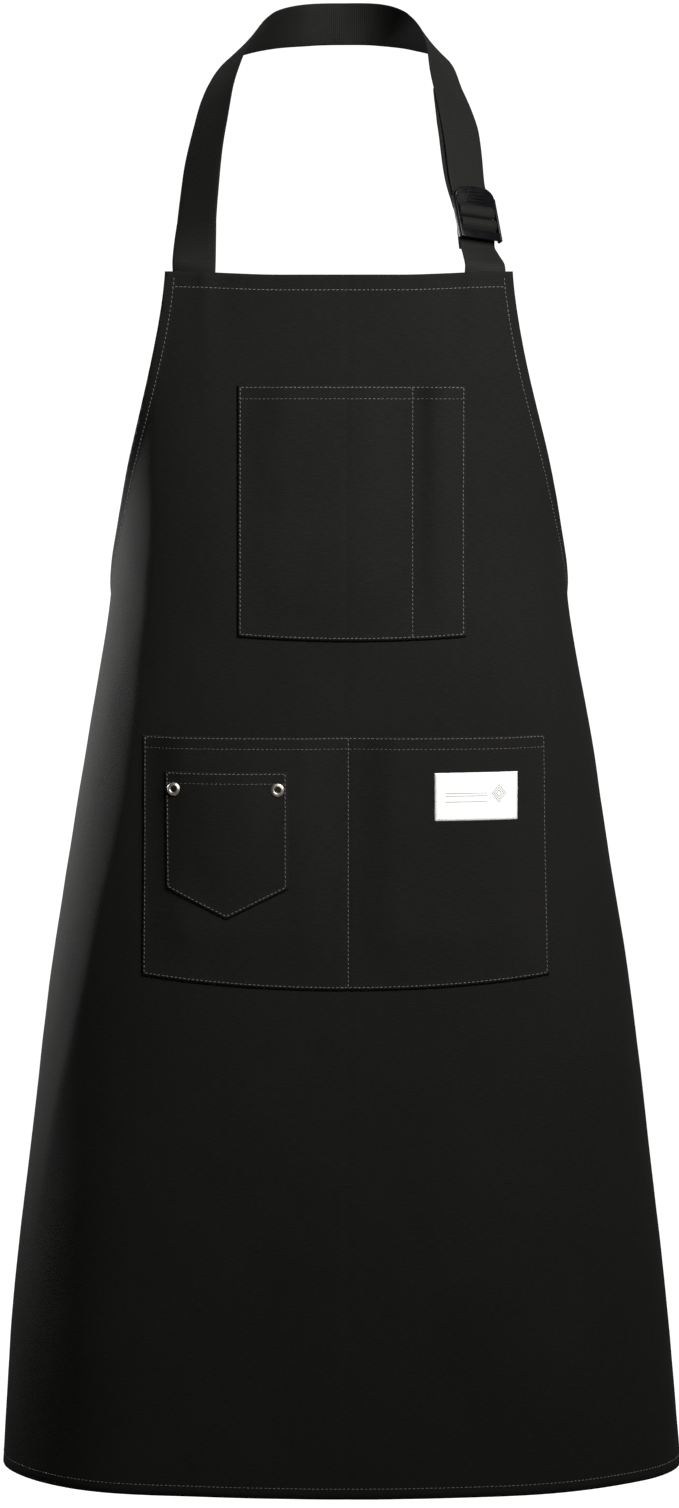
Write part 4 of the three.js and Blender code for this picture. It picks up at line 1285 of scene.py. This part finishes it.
knot_bm = bmesh.new()
bmesh.ops.create_uvsphere(knot_bm, u_segments=64, v_segments=40, radius=1)
uv = knot_bm.loops.layers.uv.new("cloth")
for face in knot_bm.faces:
    for loop in face.loops:
        co = loop.vert.co
        loop[uv].uv = (math.atan2(co.y, co.z) * 11 * MM, co.x * KNOT_WIDTH * MM)
for vert in knot_bm.verts:
    x, y, z = vert.co
    crease = 1 - 0.09 * abs(math.sin(3.4 * x + 1.1 * z)) - 0.05 * abs(math.sin(7 * x - 2 * z))
    vert.co = Vector((
        squared(x) * KNOT_WIDTH * 0.78, squared(y) * KNOT_DEPTH * 0.8, squared(z) * KNOT_HEIGHT * 0.86,
    )) * crease
knot_bm.transform(Matrix.Translation(to_row(knot_at)) @ Matrix.Scale(MM, 4))
new_piece("knot", knot_bm, TIE_TAPE, "apron", ["bow_knot"])
print("bow tied")

# %% [markdown]
# ## Studio
#
# A wide white floor lies well under the hem. In a catalogue studio the paper is lit until it burns
# out, while the garment gets only soft light. So the floor and the room shine for the camera alone,
# and barely light the cloth.

# %% Floor
FLOOR_DROP, FLOOR_HALF = 0.42, 7.0
PAPER, paper_tree, paper_shader = new_material("white_paper", "#f2f2f0", 1.0)
paper_shader.inputs["Emission Color"].default_value = (1, 1, 1, 1)
seen = add(paper_tree, "ShaderNodeLightPath").outputs["Is Camera Ray"]
paper_tree.links.new(seen, paper_shader.inputs["Emission Strength"])
floor_bm = bmesh.new()
bmesh.ops.create_grid(
    floor_bm, x_segments=1, y_segments=1, size=FLOOR_HALF,
    matrix=Matrix.Translation((0, 0, cad_box[0][2] - FLOOR_DROP)),
)
floor_mesh = bpy.data.meshes.new("floor")
floor_bm.to_mesh(floor_mesh)
floor_bm.free()
floor_mesh.materials.append(PAPER)
floor = bpy.data.objects.new("floor", floor_mesh)
bpy.context.scene.collection.objects.link(floor)
print(f"floor {FLOOR_DROP} m under the hem")

# %% [markdown]
# ### Light
#
# Black cloth shows its shape only where light grazes it. A soft key from the upper right fades down
# the skirt, a narrow light behind the left side draws its edge, and a little light comes from above
# and behind.

# %% Light
world = bpy.data.worlds.new("studio")
bpy.context.scene.world = world
world.use_nodes = True
world.node_tree.nodes["Background"].inputs["Color"].default_value = (1, 1, 1, 1)
ROOM_LIGHT, ROOM_SEEN = 0.05, 1.1
seen = add(world.node_tree, "ShaderNodeLightPath").outputs["Is Camera Ray"]
glow = add(world.node_tree, "ShaderNodeMapRange", {"To Min": ROOM_LIGHT, "To Max": ROOM_SEEN}, Value=seen)
world.node_tree.links.new(glow.outputs["Result"], world.node_tree.nodes["Background"].inputs["Strength"])


def soft_box(name, place, aim, width, height, watts, spread=180):
    light = bpy.data.lights.new(name, "AREA")
    light.spread = math.radians(spread)
    light.shape = "RECTANGLE"
    light.size, light.size_y, light.energy = width, height, watts
    lamp = bpy.data.objects.new(name, light)
    bpy.context.scene.collection.objects.link(lamp)
    lamp.location = place
    lamp.rotation_euler = (Vector(aim) - Vector(place)).to_track_quat("-Z", "Y").to_euler()
    print(f"{name}: {watts} W")


soft_box("key_front", (0.62, -1.15, 0.38), (0.05, -0.1, -0.3), 0.8, 0.8, 8.8, 85)
soft_box("rim_left", (-0.7, 0.3, -0.34), (-0.19, -0.05, -0.5), 0.14, 0.5, 2.3, 75)
soft_box("top_back", (0.3, 1.2, 1.3), (0, 0, -0.1), 1.2, 0.8, 6)

# %% [markdown]
# ### Camera
#
# A long lens sees the garment from the front, three metres away and level with the chest pocket,
# looking slightly down, so its outline hardly narrows. The lens is worked out from the height that
# has to fill the frame.

# %% Camera
CAMERA_DISTANCE, CAMERA_HEIGHT = 3000, 720
FRONT_PLANE, VIEW_MIDDLE, VIEW_HEIGHT = -125, 511, 1034.5
camera_at = to_row((0, FRONT_PLANE - CAMERA_DISTANCE, CAMERA_HEIGHT))
looks_at = to_row((0, FRONT_PLANE, VIEW_MIDDLE))
camera_data = bpy.data.cameras.new("camera")
camera_data.sensor_fit = "VERTICAL"
camera_data.sensor_height = 36
camera_data.lens = 18 / (VIEW_HEIGHT / 2 * MM / (looks_at - camera_at).length)
camera = bpy.data.objects.new("camera", camera_data)
bpy.context.scene.collection.objects.link(camera)
camera.location = camera_at
camera.rotation_euler = (looks_at - camera_at).to_track_quat("-Z", "Y").to_euler()
bpy.context.scene.camera = camera
bpy.context.scene.view_settings.view_transform = "Standard"
print(f"lens {camera_data.lens:.1f} mm")
